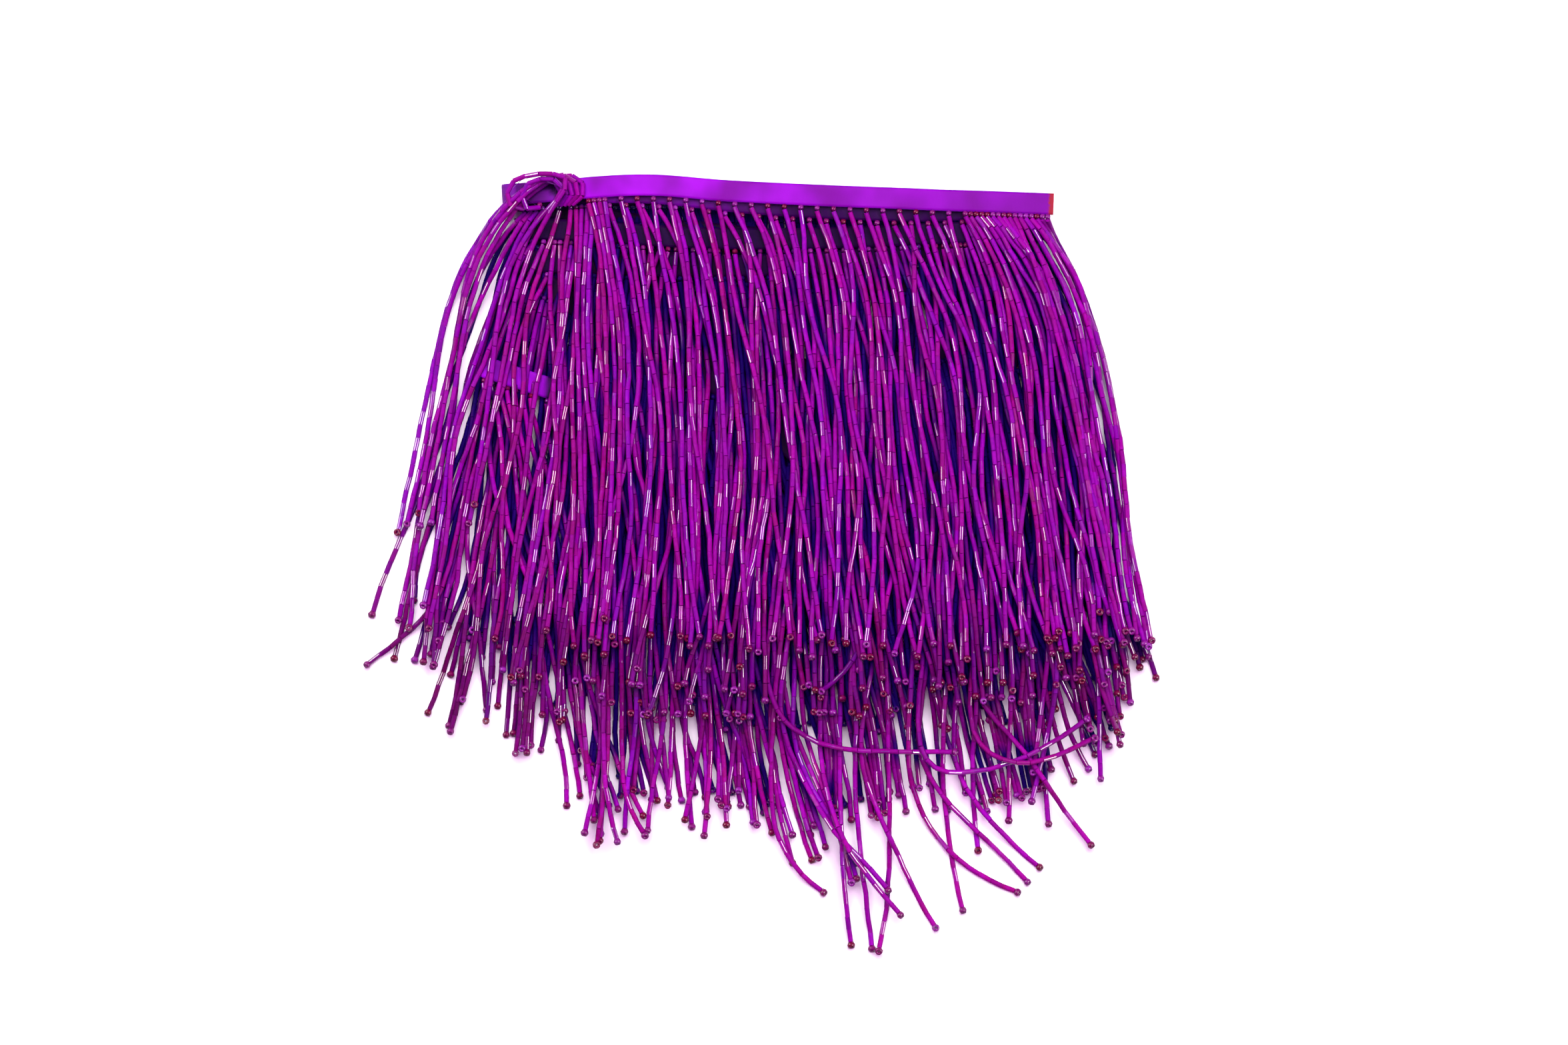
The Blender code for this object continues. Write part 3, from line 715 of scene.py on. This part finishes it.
def ringBeads(centres, axes, radii, lengths):
    # A ring round its hole: the section is an ellipse between the hole and the outer radius.
    sides, section = bead["ringSides"], bead["ringSection"]
    level, upright = crossAxes(axes)
    turn = np.arange(sides) * 2 * math.pi / sides
    tilt = np.arange(section) * 2 * math.pi / section
    radial = np.cos(turn)[None, :, None] * level[:, None] + np.sin(turn)[None, :, None] * upright[:, None]
    middle = (radii + bead["hole"]) / 2
    out = middle[:, None] + ((radii - bead["hole"]) / 2)[:, None] * np.cos(tilt)
    along = (lengths / 2)[:, None] * np.sin(tilt)
    verts = centres[:, None, None] + out[:, None, :, None] * radial[:, :, None]
    verts = verts + along[:, None, :, None] * axes[:, None, None]
    return verts.reshape(-1, 3), ringFaces(len(centres), sides, section, closedRings=True)[:, ::-1]


def threadTubes(paths, radius, sides=3):
    # A thin tube along every path: a ring square to the direction at each point, and two caps.
    level, upright = crossAxes(directions(paths))
    turn = np.arange(sides) * 2 * math.pi / sides
    ring = np.cos(turn)[:, None] * level[:, :, None] + np.sin(turn)[:, None] * upright[:, :, None]
    verts = paths[:, :, None] + radius * ring
    size = (*paths.shape[:2], sides)
    return verts.reshape(-1, 3), [ringFaces(*size), endCaps(*size)[:, ::-1]]


def linear(code):
    # sRGB hex to linear: each part over 255, then the sRGB curve undone.
    parts = [int(code[k : k + 2], 16) / 255 for k in (0, 2, 4)]
    return tuple(p / 12.92 if p <= 0.04045 else ((p + 0.055) / 1.055) ** 2.4 for p in parts) + (1.0,)


def addNode(tree, kind, links=None, stops=(), **settings):
    # Adds one node, sets its settings and colour stops, and links or sets its inputs.
    node = tree.nodes.new(kind)
    for key, value in settings.items():
        setattr(node, key, value)
    for k, (place, code) in enumerate(stops):
        stop = node.color_ramp.elements[k] if k < 2 else node.color_ramp.elements.new(place)
        stop.position = place
        stop.color = linear(code)
    for key, value in (links or {}).items():
        if isinstance(value, bpy.types.NodeSocket):
            tree.links.new(value, node.inputs[key])
        else:
            node.inputs[key].default_value = value
    return node


def newMaterial(name):
    material = bpy.data.materials.new(name)
    material.use_nodes = True
    tree = material.node_tree
    return material, tree, tree.nodes["Principled BSDF"]


glass = {
    "red": "8E0070",  # strands drift between these
    "middle": "90008E",
    "violet": "8200A6",
    "core": "AC04B8",  # cloudy lighter streaks inside
    "clouds": 2.381,  # millimetres long, which is over a third of a bead
    "cloudRange": (0.45, 0.8, 0.5),  # noise where a cloud starts and is full, and how much core shows then
    "shadeColour": "160054",  # painted shade colour: what is left of the light deep in the bundle
    "roundRed": "60002E",
    "roundViolet": "7C1688",
    "thread": "5A0C7C",
    "threadLight": "8A1CB0",
    "twist": 0.34907,  # millimetres from one turn of the thread to the next
    "roughness": 0.5,
    "sparkShare": 0.28,  # of the beads are turned so that their polish can show
    "sparkRoughness": 0.17,
    # Painted shade: the real fringe is denser and keeps light off its lower runs, so each run's colour is
    # darkened to this share, how light each run is.
    "paintedRunLight": (0.54, 0.54, 0.54, 0.57, 0.82, 0.64, 0.66, 0.69, 0.7),
    # Painted shadow: the top runs' tips shade the others. Plan y where that starts, is full, fades and ends,
    # and how much.
    "shadeBand": (-10, -30, -70, -95, 0.4),
    "shadedRuns": 7,
    "runTone": (0.4, 0.4, 0.4, 0.4, 0.42, 0.5, 0.52, 0.56, 0.58),  # from red to violet
    "strandSpread": 0.2,  # of that tone, from strand to strand
    "beadSpread": 0.12,  # and from bead to bead
    "lightSpread": 0.09,
    "roundTones": (1.6, 1.7),  # root and end beads: over 1, most are on the red side
}
waveRepeat = math.pi / 10  # how far a wave texture of scale 1 goes before it repeats


def paintDeepShade(tree, shader, colour, shadeColour):
    # Painted shade: the colour is mixed towards a dark shade colour by the painted shade share. It stands in
    # for light deep in the bundle, which has come through layers of dyed glass.
    paintedShade = addNode(tree, "ShaderNodeAttribute", attribute_name="paintedShade").outputs["Fac"]
    mix = addNode(tree, "ShaderNodeMix", {"Factor": paintedShade, 6: colour, 7: linear(shadeColour)}, data_type="RGBA")
    tree.links.new(mix.outputs[2], shader.inputs["Base Color"])


# Dyed glass tube beads: drawn, cut and tumbled, so most have a soft silky shine and some a sharp bright line.
tubeGlass, tree, shader = newMaterial("dyedGlassTubeBeads")
place = addNode(tree, "ShaderNodeTexCoord").outputs["Object"]
names = ("tone", "depth", "spark")
stored = [addNode(tree, "ShaderNodeAttribute", attribute_name=name) for name in names]
tone, depth, spark = (node.outputs["Fac"] for node in stored)
dyes = ((0, glass["red"]), (0.5, glass["middle"]), (1, glass["violet"]))
dye = addNode(tree, "ShaderNodeValToRGB", {"Fac": tone}, dyes)
clouds = {"Vector": place, "Scale": 1 / (glass["clouds"] * mm), "Detail": 2.0, "Roughness": 0.6}
cloud = addNode(tree, "ShaderNodeTexNoise", clouds)
start, full, most = glass["cloudRange"]
clouded = {"Value": cloud.outputs["Fac"], 1: start, 2: full, 3: 0.0, 4: most}
lift = addNode(tree, "ShaderNodeMapRange", clouded).outputs[0]
layers = {"Factor": lift, 6: dye.outputs[0], 7: linear(glass["core"])}
streaked = addNode(tree, "ShaderNodeMix", layers, data_type="RGBA").outputs[2]
# The dye times each bead's random lightness and its painted shade.
layers = {"Factor": 1.0, 6: streaked, 7: depth}
shaded = addNode(tree, "ShaderNodeMix", layers, data_type="RGBA", blend_type="MULTIPLY").outputs[2]
# Painted shade deep in the bundle darkens the tube beads' colour.
paintDeepShade(tree, shader, shaded, glass["shadeColour"])
shader.inputs["Roughness"].default_value = glass["roughness"]
shader.inputs["Specular IOR Level"].default_value = 0.03
tree.links.new(spark, shader.inputs["Coat Weight"])
shader.inputs["Coat Roughness"].default_value = glass["sparkRoughness"]
shader.inputs["Coat IOR"].default_value = 1.7

# Round seed beads at the root and the end: thicker, clearer glass, darker and redder, with a bright rim.
roundGlass, tree, shader = newMaterial("clearDyedRoundBeads")
tone = addNode(tree, "ShaderNodeAttribute", attribute_name="tone").outputs["Fac"]
dye = addNode(tree, "ShaderNodeValToRGB", {"Fac": tone}, ((0, glass["roundRed"]), (1, glass["roundViolet"])))
# Painted shade deep in the bundle, as on the tube beads.
paintDeepShade(tree, shader, dye.outputs[0], glass["shadeColour"])
shader.inputs["Roughness"].default_value = 0.25
shader.inputs["Specular IOR Level"].default_value = 0.3

# Twisted polyester thread, dyed to match, which shows as a dull fine line at the ribbon and between beads.
threadFibre, tree, shader = newMaterial("twistedPolyesterThread")
place = addNode(tree, "ShaderNodeTexCoord").outputs["Object"]
twist = addNode(tree, "ShaderNodeTexWave", {"Vector": place, "Scale": waveRepeat / (glass["twist"] * mm)})
dyes = ((0, glass["thread"]), (1, glass["threadLight"]))
dye = addNode(tree, "ShaderNodeValToRGB", {"Fac": twist.outputs["Fac"]}, dyes)
# Painted shade deep in the bundle, as on the beads.
paintDeepShade(tree, shader, dye.outputs[0], glass["shadeColour"])
shader.inputs["Roughness"].default_value = 0.6

# A bead that shows has its two shoulders drawn in. One that others cover is a plain cut tube.
shownProfile = {
    "sides": bead["sides"],
    "fromMiddle": (-1, -1, 1, 1),  # in halves of the bead
    "insets": (0, bead["shoulder"], -bead["shoulder"], 0),
    "reaches": (bead["shoulderRadius"], 1, 1, bead["shoulderRadius"]),
}
coveredProfile = {"sides": bead["coveredSides"], "fromMiddle": (-1, 1), "insets": (0, 0), "reaches": (1, 1)}


def shows(starts, ends):
    # A bead shows where its crown is about as high as the bundle's top at one of five spots along it.
    t = np.linspace(0.1, 0.9, 5)[None, :, None]
    spots = starts[:, None] + (ends - starts)[:, None] * t
    top = fineTop[cellsAt(fineTop, spots[..., 0], spots[..., 1])]
    return (spots[..., 2] + bead["radius"] > top - bead["shownDepth"]).any(axis=1)


for index, run in enumerate(laid):
    joints = np.array([strand["joints"] for strand in run["strands"]])
    count = len(joints)
    starts, ends = joints[:, :-1].reshape(-1, 3), joints[:, 1:].reshape(-1, 3)
    level, _ = crossAxes(unit(ends - starts))
    slip = wobble.normal(size=(len(starts), 1)).clip(-2, 2) * bead["step"] * level
    starts, ends = starts + slip, ends + slip
    spins = wobble.uniform(0, 2 * math.pi, len(starts))
    strandTone = wobble.normal(glass["runTone"][index], glass["strandSpread"], count)
    tones = np.repeat(strandTone, bead["perStrand"]) + wobble.normal(0, glass["beadSpread"], len(starts))
    # A bead's lightness spreads at random; painted shade then darkens it by run, and painted shadow in the
    # band under the top runs' tips.
    lightsAndShades = wobble.normal(1.0, glass["lightSpread"], len(starts)).clip(0.75, 1.25)
    lightsAndShades *= glass["paintedRunLight"][index]
    if index < glass["shadedRuns"]:
        start, full, fades, end, most = glass["shadeBand"]
        y = (starts[:, 1] + ends[:, 1]) / 2
        lightsAndShades *= 1 - most * smoothStep((start - y) / (start - full)) * smoothStep((y - end) / (fades - end))
    polished = wobble.uniform(size=len(starts)) < glass["sparkShare"]
    sparks = polished * wobble.uniform(0.5, 1.0, len(starts))
    shown = shows(starts, ends)
    parts, groups, offset, values = [], [], 0, {"tone": [], "depth": [], "spark": []}
    for chosen, profile in ((shown, shownProfile), (~shown, coveredProfile)):
        verts, faceSets = tubeBeads(starts[chosen], ends[chosen], spins[chosen], **profile)
        parts.append(verts)
        groups += [faces + offset for faces in faceSets]
        offset += len(verts)
        perBead = len(profile["reaches"]) * profile["sides"]
        for name, each in (("tone", tones.clip(0, 1)), ("depth", lightsAndShades), ("spark", sparks)):
            values[name].append(np.repeat(each[chosen], perBead))
    verts = np.concatenate(parts)
    # The flat ones are the shoulders and cut ends of both sorts, which follow their bodies.
    tubes = makePiece("tube_beads_%d" % (index + 1), verts, groups, tubeGlass, flatSets=(1, 2, 4, 5))
    # Painted shade under the bundle's level; the polish fades with it.
    paintedShade = paintedShadeShare(verts)
    addAttribute(tubes, "tone", np.concatenate(values["tone"]))
    addAttribute(tubes, "depth", np.concatenate(values["depth"]))
    addAttribute(tubes, "spark", np.concatenate(values["spark"]) * (1 - paintedShade))
    addAttribute(tubes, "paintedShade", paintedShade)
    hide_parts("fringe_%d" % (index + 1))
    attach(tubes, "root")
    print("run", index + 1, count, "strands,", round(shown.mean(), 2), "of the beads show")
print("tube beads made", round(time.time() - clock), "s")

strandsAll = [strand for run in laid for strand in run["strands"]]
roots, tips, sewn = (np.array([strand[key] for strand in strandsAll]) for key in ("root", "tip", "sewn"))
jointsAll = np.array([strand["joints"] for strand in strandsAll])
count = len(strandsAll)
firstAxis = unit(jointsAll[:, 0] - roots)
lastAxis = unit(tips - jointsAll[:, -1])
upended = wobble.uniform(size=count) < bead["flatShare"]
lean = wobble.normal(0, bead["lean"], (upended.sum(), 2))
lastAxis[upended] = unit(np.column_stack([lean, np.ones(upended.sum())]))
spread = wobble.uniform(*bead["roundSizes"], 2 * count)
verts, faces = ringBeads(
    np.concatenate([roots, tips]),
    np.concatenate([firstAxis, lastAxis]),
    np.repeat([bead["rootRadius"], bead["endRadius"]], count) * spread,
    np.repeat([bead["rootLength"], bead["endLength"]], count),
)
rounds = makePiece("round_beads", verts, [faces], roundGlass)
roundTones = wobble.uniform(size=2 * count) ** np.repeat(glass["roundTones"], count)
addAttribute(rounds, "tone", np.repeat(roundTones, bead["ringSides"] * bead["ringSection"]))
# Painted shade under the bundle's level, as on the tube beads.
addAttribute(rounds, "paintedShade", paintedShadeShare(verts))
# The thread passes every second joint, which is enough: it shows only at the ribbon and between beads.
threaded = np.concatenate([sewn[:, None], roots[:, None], jointsAll[:, ::2], tips[:, None]], axis=1)
verts, faceSets = threadTubes(threaded, bead["threadRadius"])
threads = makePiece("thread", verts, faceSets, threadFibre)
# Painted shade on the thread too.
addAttribute(threads, "paintedShade", paintedShadeShare(verts))
for piece in (rounds, threads):
    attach(piece, "root")
print("round beads and thread made", round(time.time() - clock), "s")

# Satin ribbon, in millimetres.
ribbon = {
    "halfWidth": 4.85,
    "thick": 0.36,
    "thinning": 0.8,  # how much of its thickness squared is gone at the edges
    "spacing": 2.0,
    "foldSteps": 18,
    "acrossPoints": 9,
    "smoothing": 9,  # points that each height is averaged over
    "lift": 0.16,
    "roll": 0.26,  # how far the two edges rise and fall against each other
    "waves": (17, 60),  # their lengths
    "seed": 5,
    "shades": (1, 1, 1, 1, 1, 1, 1, 1, 0),  # least painted shade of each run
    # The two top runs get painted shade in part, the lower one under the top one, and the top one under the
    # knot of loops: plan x and share.
    "shadeAlong": {
        7: ((-80.0, 0.5), (-30.0, 0.65), (20.0, 0.95)),
        8: ((-100.0, 0.6), (-94.0, 0.4), (-90.0, 0.0)),
    },
    "openEnd": (-98.0, -92.0),  # plan x where the inner end comes out into the light and loses its painted shade, and where it is covered and the painted shade is full
    "base": "7E02A6",
    "light": "8E04BC",
    "dark": "6C0288",
    # painted shade colour of the ribbon deep in the bundle
    "shadeColour": "1C0030",
    # darker towards the right along x
    "freeEnd": "64007C",
    "darkerRightFrom": (-0.06, 0.13, 0.75),  # metres along x where it starts and is full, and how much of it
    "selvedge": "5A1AA0",
    "selvedgeFrom": (4.35, 4.75, 0.85),  # the same, from the middle line
    "seared": "8A2030",
    # The same, with noise added to the distance from the cut end: the third is how much of it.
    "searedLength": (4.2, 3.2, 3.0),
    "ribs": 0.5712,  # apart: coarser than they are woven, so that they show
    "ticks": 0.748,  # apart along the selvedge, coarser too
    "drift": 22.22,  # between lighter and darker stretches
    "ragged": 1.4286,  # between the tongues of the seared edge
}


def ribbonPath():
    # The runs in the tape's own order, joined by half ellipses that bulge out past their ends.
    # The third value is how much painted shade each point gets: a share for each run, and none at the inner
    # end.
    centre, across, shade = [], [], []
    for step, index in enumerate(tapeOrder):
        run = laid[index]
        plan = curveThrough(runs[index]["line"], ribbon["spacing"])
        heights = np.interp(lengthsAlong(plan), lengthsAlong(run["plan"]), run["z"]) + laying["tapeThick"] / 2
        kernel = np.hanning(ribbon["smoothing"])
        heights = np.pad(heights, ribbon["smoothing"] // 2, mode="edge")
        heights = np.convolve(heights, kernel / kernel.sum(), mode="valid")
        points, side = np.column_stack([plan, heights]), sideVectors(plan)
        if step % 2 == 1:
            points, side = points[::-1], side[::-1]
        if centre:
            fold, bulge = foldSides[step - 1], foldBulges[step - 1]
            turn = np.linspace(0, math.pi, ribbon["foldSteps"] + 1)[1:-1]
            share = (turn / math.pi)[:, None]
            start, stop = centre[-1][-1], points[0]
            middle = start + (stop - start) * share
            middle[:, 2] = (start[2] + stop[2]) / 2 + (start[2] - stop[2]) / 2 * np.cos(turn)
            middle[:, 0] += fold * bulge * np.sin(turn)
            centre.append(middle)
            across.append(unit(across[-1][-1] + (side[0] - across[-1][-1]) * share))
            shade.append(shade[-1][-1] + (ribbon["shades"][index] - shade[-1][-1]) * share[:, 0])
        centre.append(points)
        across.append(side)
        shade.append(np.full(len(points), float(ribbon["shades"][index])))
        if index in ribbon["shadeAlong"]:
            places, kept = np.array(ribbon["shadeAlong"][index]).T
            shade[-1] = np.interp(points[:, 0], places, kept)
    opened = ribbon["openEnd"]
    shade[0] = shade[0] * smoothStep((centre[0][:, 0] - opened[0]) / (opened[1] - opened[0]))
    return np.vstack(centre), np.vstack(across), np.concatenate(shade)


def ribbonSurface(centre, across):
    # Along the path: the place across, plus a slow lift and roll along the surface's own normal, each of
    # four waves, and half the thickness, which falls off to both edges.
    along = lengthsAlong(centre)
    random = np.random.default_rng(ribbon["seed"])
    waves = [(random.uniform(*ribbon["waves"]), random.uniform(0, 6.28), random.normal()) for _ in range(8)]
    lift = sum(k * np.sin(2 * math.pi * along / length + phase) for length, phase, k in waves[:4]) / 2
    roll = sum(k * np.sin(2 * math.pi * along / length + phase) for length, phase, k in waves[4:]) / 2
    wide = np.column_stack([across, np.zeros(len(across))])
    normal = unit(np.cross(directions(centre), wide))
    v = np.linspace(-1, 1, ribbon["acrossPoints"])
    v = np.concatenate([v, v[::-1]])
    thickness = ribbon["thick"] * np.sqrt(1 - ribbon["thinning"] * v**8)
    face = np.repeat([0.5, -0.5], ribbon["acrossPoints"]) * thickness
    rise = ribbon["lift"] * lift[:, None] + ribbon["roll"] * roll[:, None] * v + face
    verts = centre[:, None] + wide[:, None] * (ribbon["halfWidth"] * v)[None, :, None]
    verts = verts + normal[:, None] * rise[..., None]
    size = (1, len(centre), len(v))
    uv = np.stack(np.broadcast_arrays(along[:, None], ribbon["halfWidth"] * v), axis=-1).reshape(-1, 2)
    return verts.reshape(-1, 3), [ringFaces(*size), endCaps(*size)], uv, along[-1]


# Woven polyester satin: fine ribs across, a long silky glow along, and a tight selvedge at both edges.
satin, tree, shader = newMaterial("wovenPolyesterSatin")
cloth = addNode(tree, "ShaderNodeUVMap", uv_map="alongAcross").outputs[0]
ribs = {"Vector": cloth, "Scale": waveRepeat / ribbon["ribs"], "Distortion": 0.6, "Detail": 1.0}
weave = addNode(tree, "ShaderNodeTexWave", ribs)
drift = addNode(tree, "ShaderNodeTexNoise", {"Vector": cloth, "Scale": 1 / ribbon["drift"], "Detail": 2.0})
dyes = ((0.36, ribbon["dark"]), (0.5, ribbon["base"]), (0.64, ribbon["light"]))
dye = addNode(tree, "ShaderNodeValToRGB", {"Fac": drift.outputs["Fac"]}, dyes)
place = addNode(tree, "ShaderNodeTexCoord").outputs["Object"]
where = addNode(tree, "ShaderNodeSeparateXYZ", {0: place}).outputs[0]
# The colour grows darker towards the right along x.
start, full, most = ribbon["darkerRightFrom"]
duller = addNode(tree, "ShaderNodeMapRange", {"Value": where, 1: start, 2: full, 3: 0.0, 4: most}).outputs[0]
sideways = addNode(tree, "ShaderNodeSeparateXYZ", {0: cloth}).outputs[1]
edge = addNode(tree, "ShaderNodeMath", {0: sideways}, operation="ABSOLUTE").outputs[0]
start, full, most = ribbon["selvedgeFrom"]
rim = addNode(tree, "ShaderNodeMapRange", {"Value": edge, 1: start, 2: full, 3: 0.0, 4: most})
rows = {"Vector": cloth, "Scale": waveRepeat / ribbon["ticks"], "Distortion": 1.5, "Detail": 1.0}
ticks = addNode(tree, "ShaderNodeTexWave", rows).outputs["Fac"]
rimTicks = addNode(tree, "ShaderNodeMath", {0: rim.outputs[0], 1: ticks}, operation="MULTIPLY").outputs[0]
fromEnd = addNode(tree, "ShaderNodeAttribute", attribute_name="fromEnd").outputs["Fac"]
ragged = addNode(tree, "ShaderNodeTexNoise", {"Vector": cloth, "Scale": 1 / ribbon["ragged"], "Detail": 2.0})
start, full, most = ribbon["searedLength"]
added = {0: ragged.outputs["Fac"], 1: most, 2: fromEnd}
torn = addNode(tree, "ShaderNodeMath", added, operation="MULTIPLY_ADD").outputs[0]
sear = addNode(tree, "ShaderNodeMapRange", {"Value": torn, 1: start, 2: full, 3: 0.0, 4: 1.0}).outputs[0]
dyed = dye.outputs[0]
for factor, name in ((duller, "freeEnd"), (rimTicks, "selvedge"), (sear, "seared")):
    layers = {"Factor": factor, 6: dyed, 7: linear(ribbon[name])}
    dyed = addNode(tree, "ShaderNodeMix", layers, data_type="RGBA").outputs[2]
# Painted shade deep in the bundle, as on the beads.
paintDeepShade(tree, shader, dyed, ribbon["shadeColour"])
bump = addNode(tree, "ShaderNodeBump", {"Height": weave.outputs["Fac"], "Strength": 0.12, "Distance": 0.0001})
tree.links.new(bump.outputs[0], shader.inputs["Normal"])
warp = addNode(tree, "ShaderNodeTangent", direction_type="UV_MAP", uv_map="alongAcross")
tree.links.new(warp.outputs[0], shader.inputs["Tangent"])
shader.inputs["Roughness"].default_value = 0.42
shader.inputs["Anisotropic"].default_value = 0.6
shader.inputs["Specular IOR Level"].default_value = 0.04

ribbonCentre, ribbonAcross, ribbonShade = ribbonPath()
verts, faceSets, uv, ribbonLength = ribbonSurface(ribbonCentre, ribbonAcross)
satinRibbon = makePiece("satin_ribbon", verts, faceSets, satin, flatSets=(1,))
uvData = satinRibbon.data.uv_layers.new(name="alongAcross").data
corners = np.zeros(len(satinRibbon.data.loops), np.int32)
satinRibbon.data.loops.foreach_get("vertex_index", corners)
uvData.foreach_set("uv", uv[corners].astype(np.float32).ravel())
addAttribute(satinRibbon, "fromEnd", ribbonLength - uv[:, 0])
# Painted shade on the ribbon: each run's own share, and where that is more than nil, the depth under the
# bundle's level too.
kept = np.repeat(ribbonShade, 2 * ribbon["acrossPoints"])
addAttribute(satinRibbon, "paintedShade", np.maximum(paintedShadeShare(verts) * (kept > 0), kept))
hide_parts("satin_tape")
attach(satinRibbon, "root")
print("ribbon made,", round(ribbonLength), "mm long", round(time.time() - clock), "s")

# Matt white card under the bundle, barely mottled.
floor = {
    "low": "F4F2F6",
    "high": "FAF8FB",
    "mottle": 33.33,  # millimetres between lighter and darker spots
    "reach": 3.0,  # metres to each side
}
card, tree, shader = newMaterial("mattWhiteCard")
place = addNode(tree, "ShaderNodeTexCoord").outputs["Object"]
mottle = addNode(tree, "ShaderNodeTexNoise", {"Vector": place, "Scale": 1 / (floor["mottle"] * mm)})
whites = ((0, floor["low"]), (1, floor["high"]))
ramp = addNode(tree, "ShaderNodeValToRGB", {"Fac": mottle.outputs["Fac"]}, whites)
tree.links.new(ramp.outputs[0], shader.inputs["Base Color"])
shader.inputs["Roughness"].default_value = 0.9
shader.inputs["Specular IOR Level"].default_value = 0.1
floorMesh = bpy.data.meshes.new("table")
corners = [(x * floor["reach"], y * floor["reach"], 0) for x, y in ((-1, -1), (1, -1), (1, 1), (-1, 1))]
floorMesh.from_pydata(corners, [], [(0, 1, 2, 3)])
floorMesh.materials.append(card)
table = bpy.data.objects.new("table", floorMesh)
bpy.context.scene.collection.objects.link(table)

# One broad soft light from above and behind, and two narrow ones at the sides that show only as bright lines
# on the glass.
studio = {
    "fill": {"at": (0.1, 0.9, 1.9), "size": (1.7, 1.7), "watts": 88, "colour": (1.0, 0.985, 0.98)},
    "leftStrip": {"at": (-1.3, 0.45, 1.1), "size": (0.5, 1.2), "watts": 60, "colour": (1.0, 0.96, 0.98)},
    "rightStrip": {"at": (1.3, -0.45, 1.1), "size": (0.5, 1.2), "watts": 60, "colour": (1.0, 0.96, 0.98)},
    # Stands in for the light that comes through the dyed glass and tints the shadows.
    "tint": {"at": (0.0, 0.0, 1.0), "size": (1.4, 1.4), "watts": 7.6, "colour": (1.0, 0.2, 0.96)},
    "glossOnly": ("leftStrip", "rightStrip"),
    "sky": (0.62, 0.70, 1.0),
    "skyStrength": 0.04,
    "backdrop": (0.93, 0.92, 0.94),
}
for name in ("fill", "leftStrip", "rightStrip", "tint"):
    values, glossOnly = studio[name], name in studio["glossOnly"]
    light = bpy.data.lights.new(name, "AREA")
    light.shape = "RECTANGLE"
    light.size, light.size_y = values["size"]
    light.energy = values["watts"]
    light.color = values["colour"]
    lamp = bpy.data.objects.new(name, light)
    lamp.location = values["at"]
    x, y, z = values["at"]
    lamp.rotation_euler = (-math.atan2(y, z), math.atan2(x, z), 0)
    lamp.visible_diffuse = not glossOnly
    lamp.visible_glossy = glossOnly
    lamp.visible_camera = False
    bpy.context.scene.collection.objects.link(lamp)
# The sky lights faintly in blue, isn't mirrored in the glass, and is a pale backdrop for the camera.
sky = bpy.data.worlds.new("sky")
sky.use_nodes = True
tree = sky.node_tree
seen = addNode(tree, "ShaderNodeLightPath").outputs["Is Camera Ray"]
faint = (*(studio["skyStrength"] * part for part in studio["sky"]), 1)
layers = {"Factor": seen, 6: faint, 7: (*studio["backdrop"], 1)}
skyColour = addNode(tree, "ShaderNodeMix", layers, data_type="RGBA")
tree.links.new(skyColour.outputs[2], tree.nodes["Background"].inputs[0])
bpy.context.scene.world = sky
sky.cycles_visibility.glossy = False
bpy.context.scene.view_settings.view_transform = "Standard"

view = {
    "pixelsPerMm": 3.3,  # from the repeat of the tube beads in the photo
    "photoWidth": 2352,
    "centre": (13.03, 18.94),  # the plan point at the middle of the photo
    "level": 14.0,  # height at which that scale holds
    "lens": 70.0,
    "sensor": 36.0,
}
wide = view["photoWidth"] / view["pixelsPerMm"]
eye = bpy.data.cameras.new("eye")
eye.lens, eye.sensor_width = view["lens"], view["sensor"]
camera = bpy.data.objects.new("eye", eye)
camera.location = toPart([*view["centre"], view["level"] + wide * view["lens"] / view["sensor"]])
bpy.context.scene.collection.objects.link(camera)
bpy.context.scene.camera = camera

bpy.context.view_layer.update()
meshes = [thing.data for thing in bpy.data.objects if thing.type == "MESH" and len(thing.data.materials)]
counts = {mesh.name: int(sum(len(face.vertices) - 2 for face in mesh.polygons)) for mesh in meshes}
print("triangles", counts, sum(counts.values()))
print("done in", round(time.time() - clock), "s")
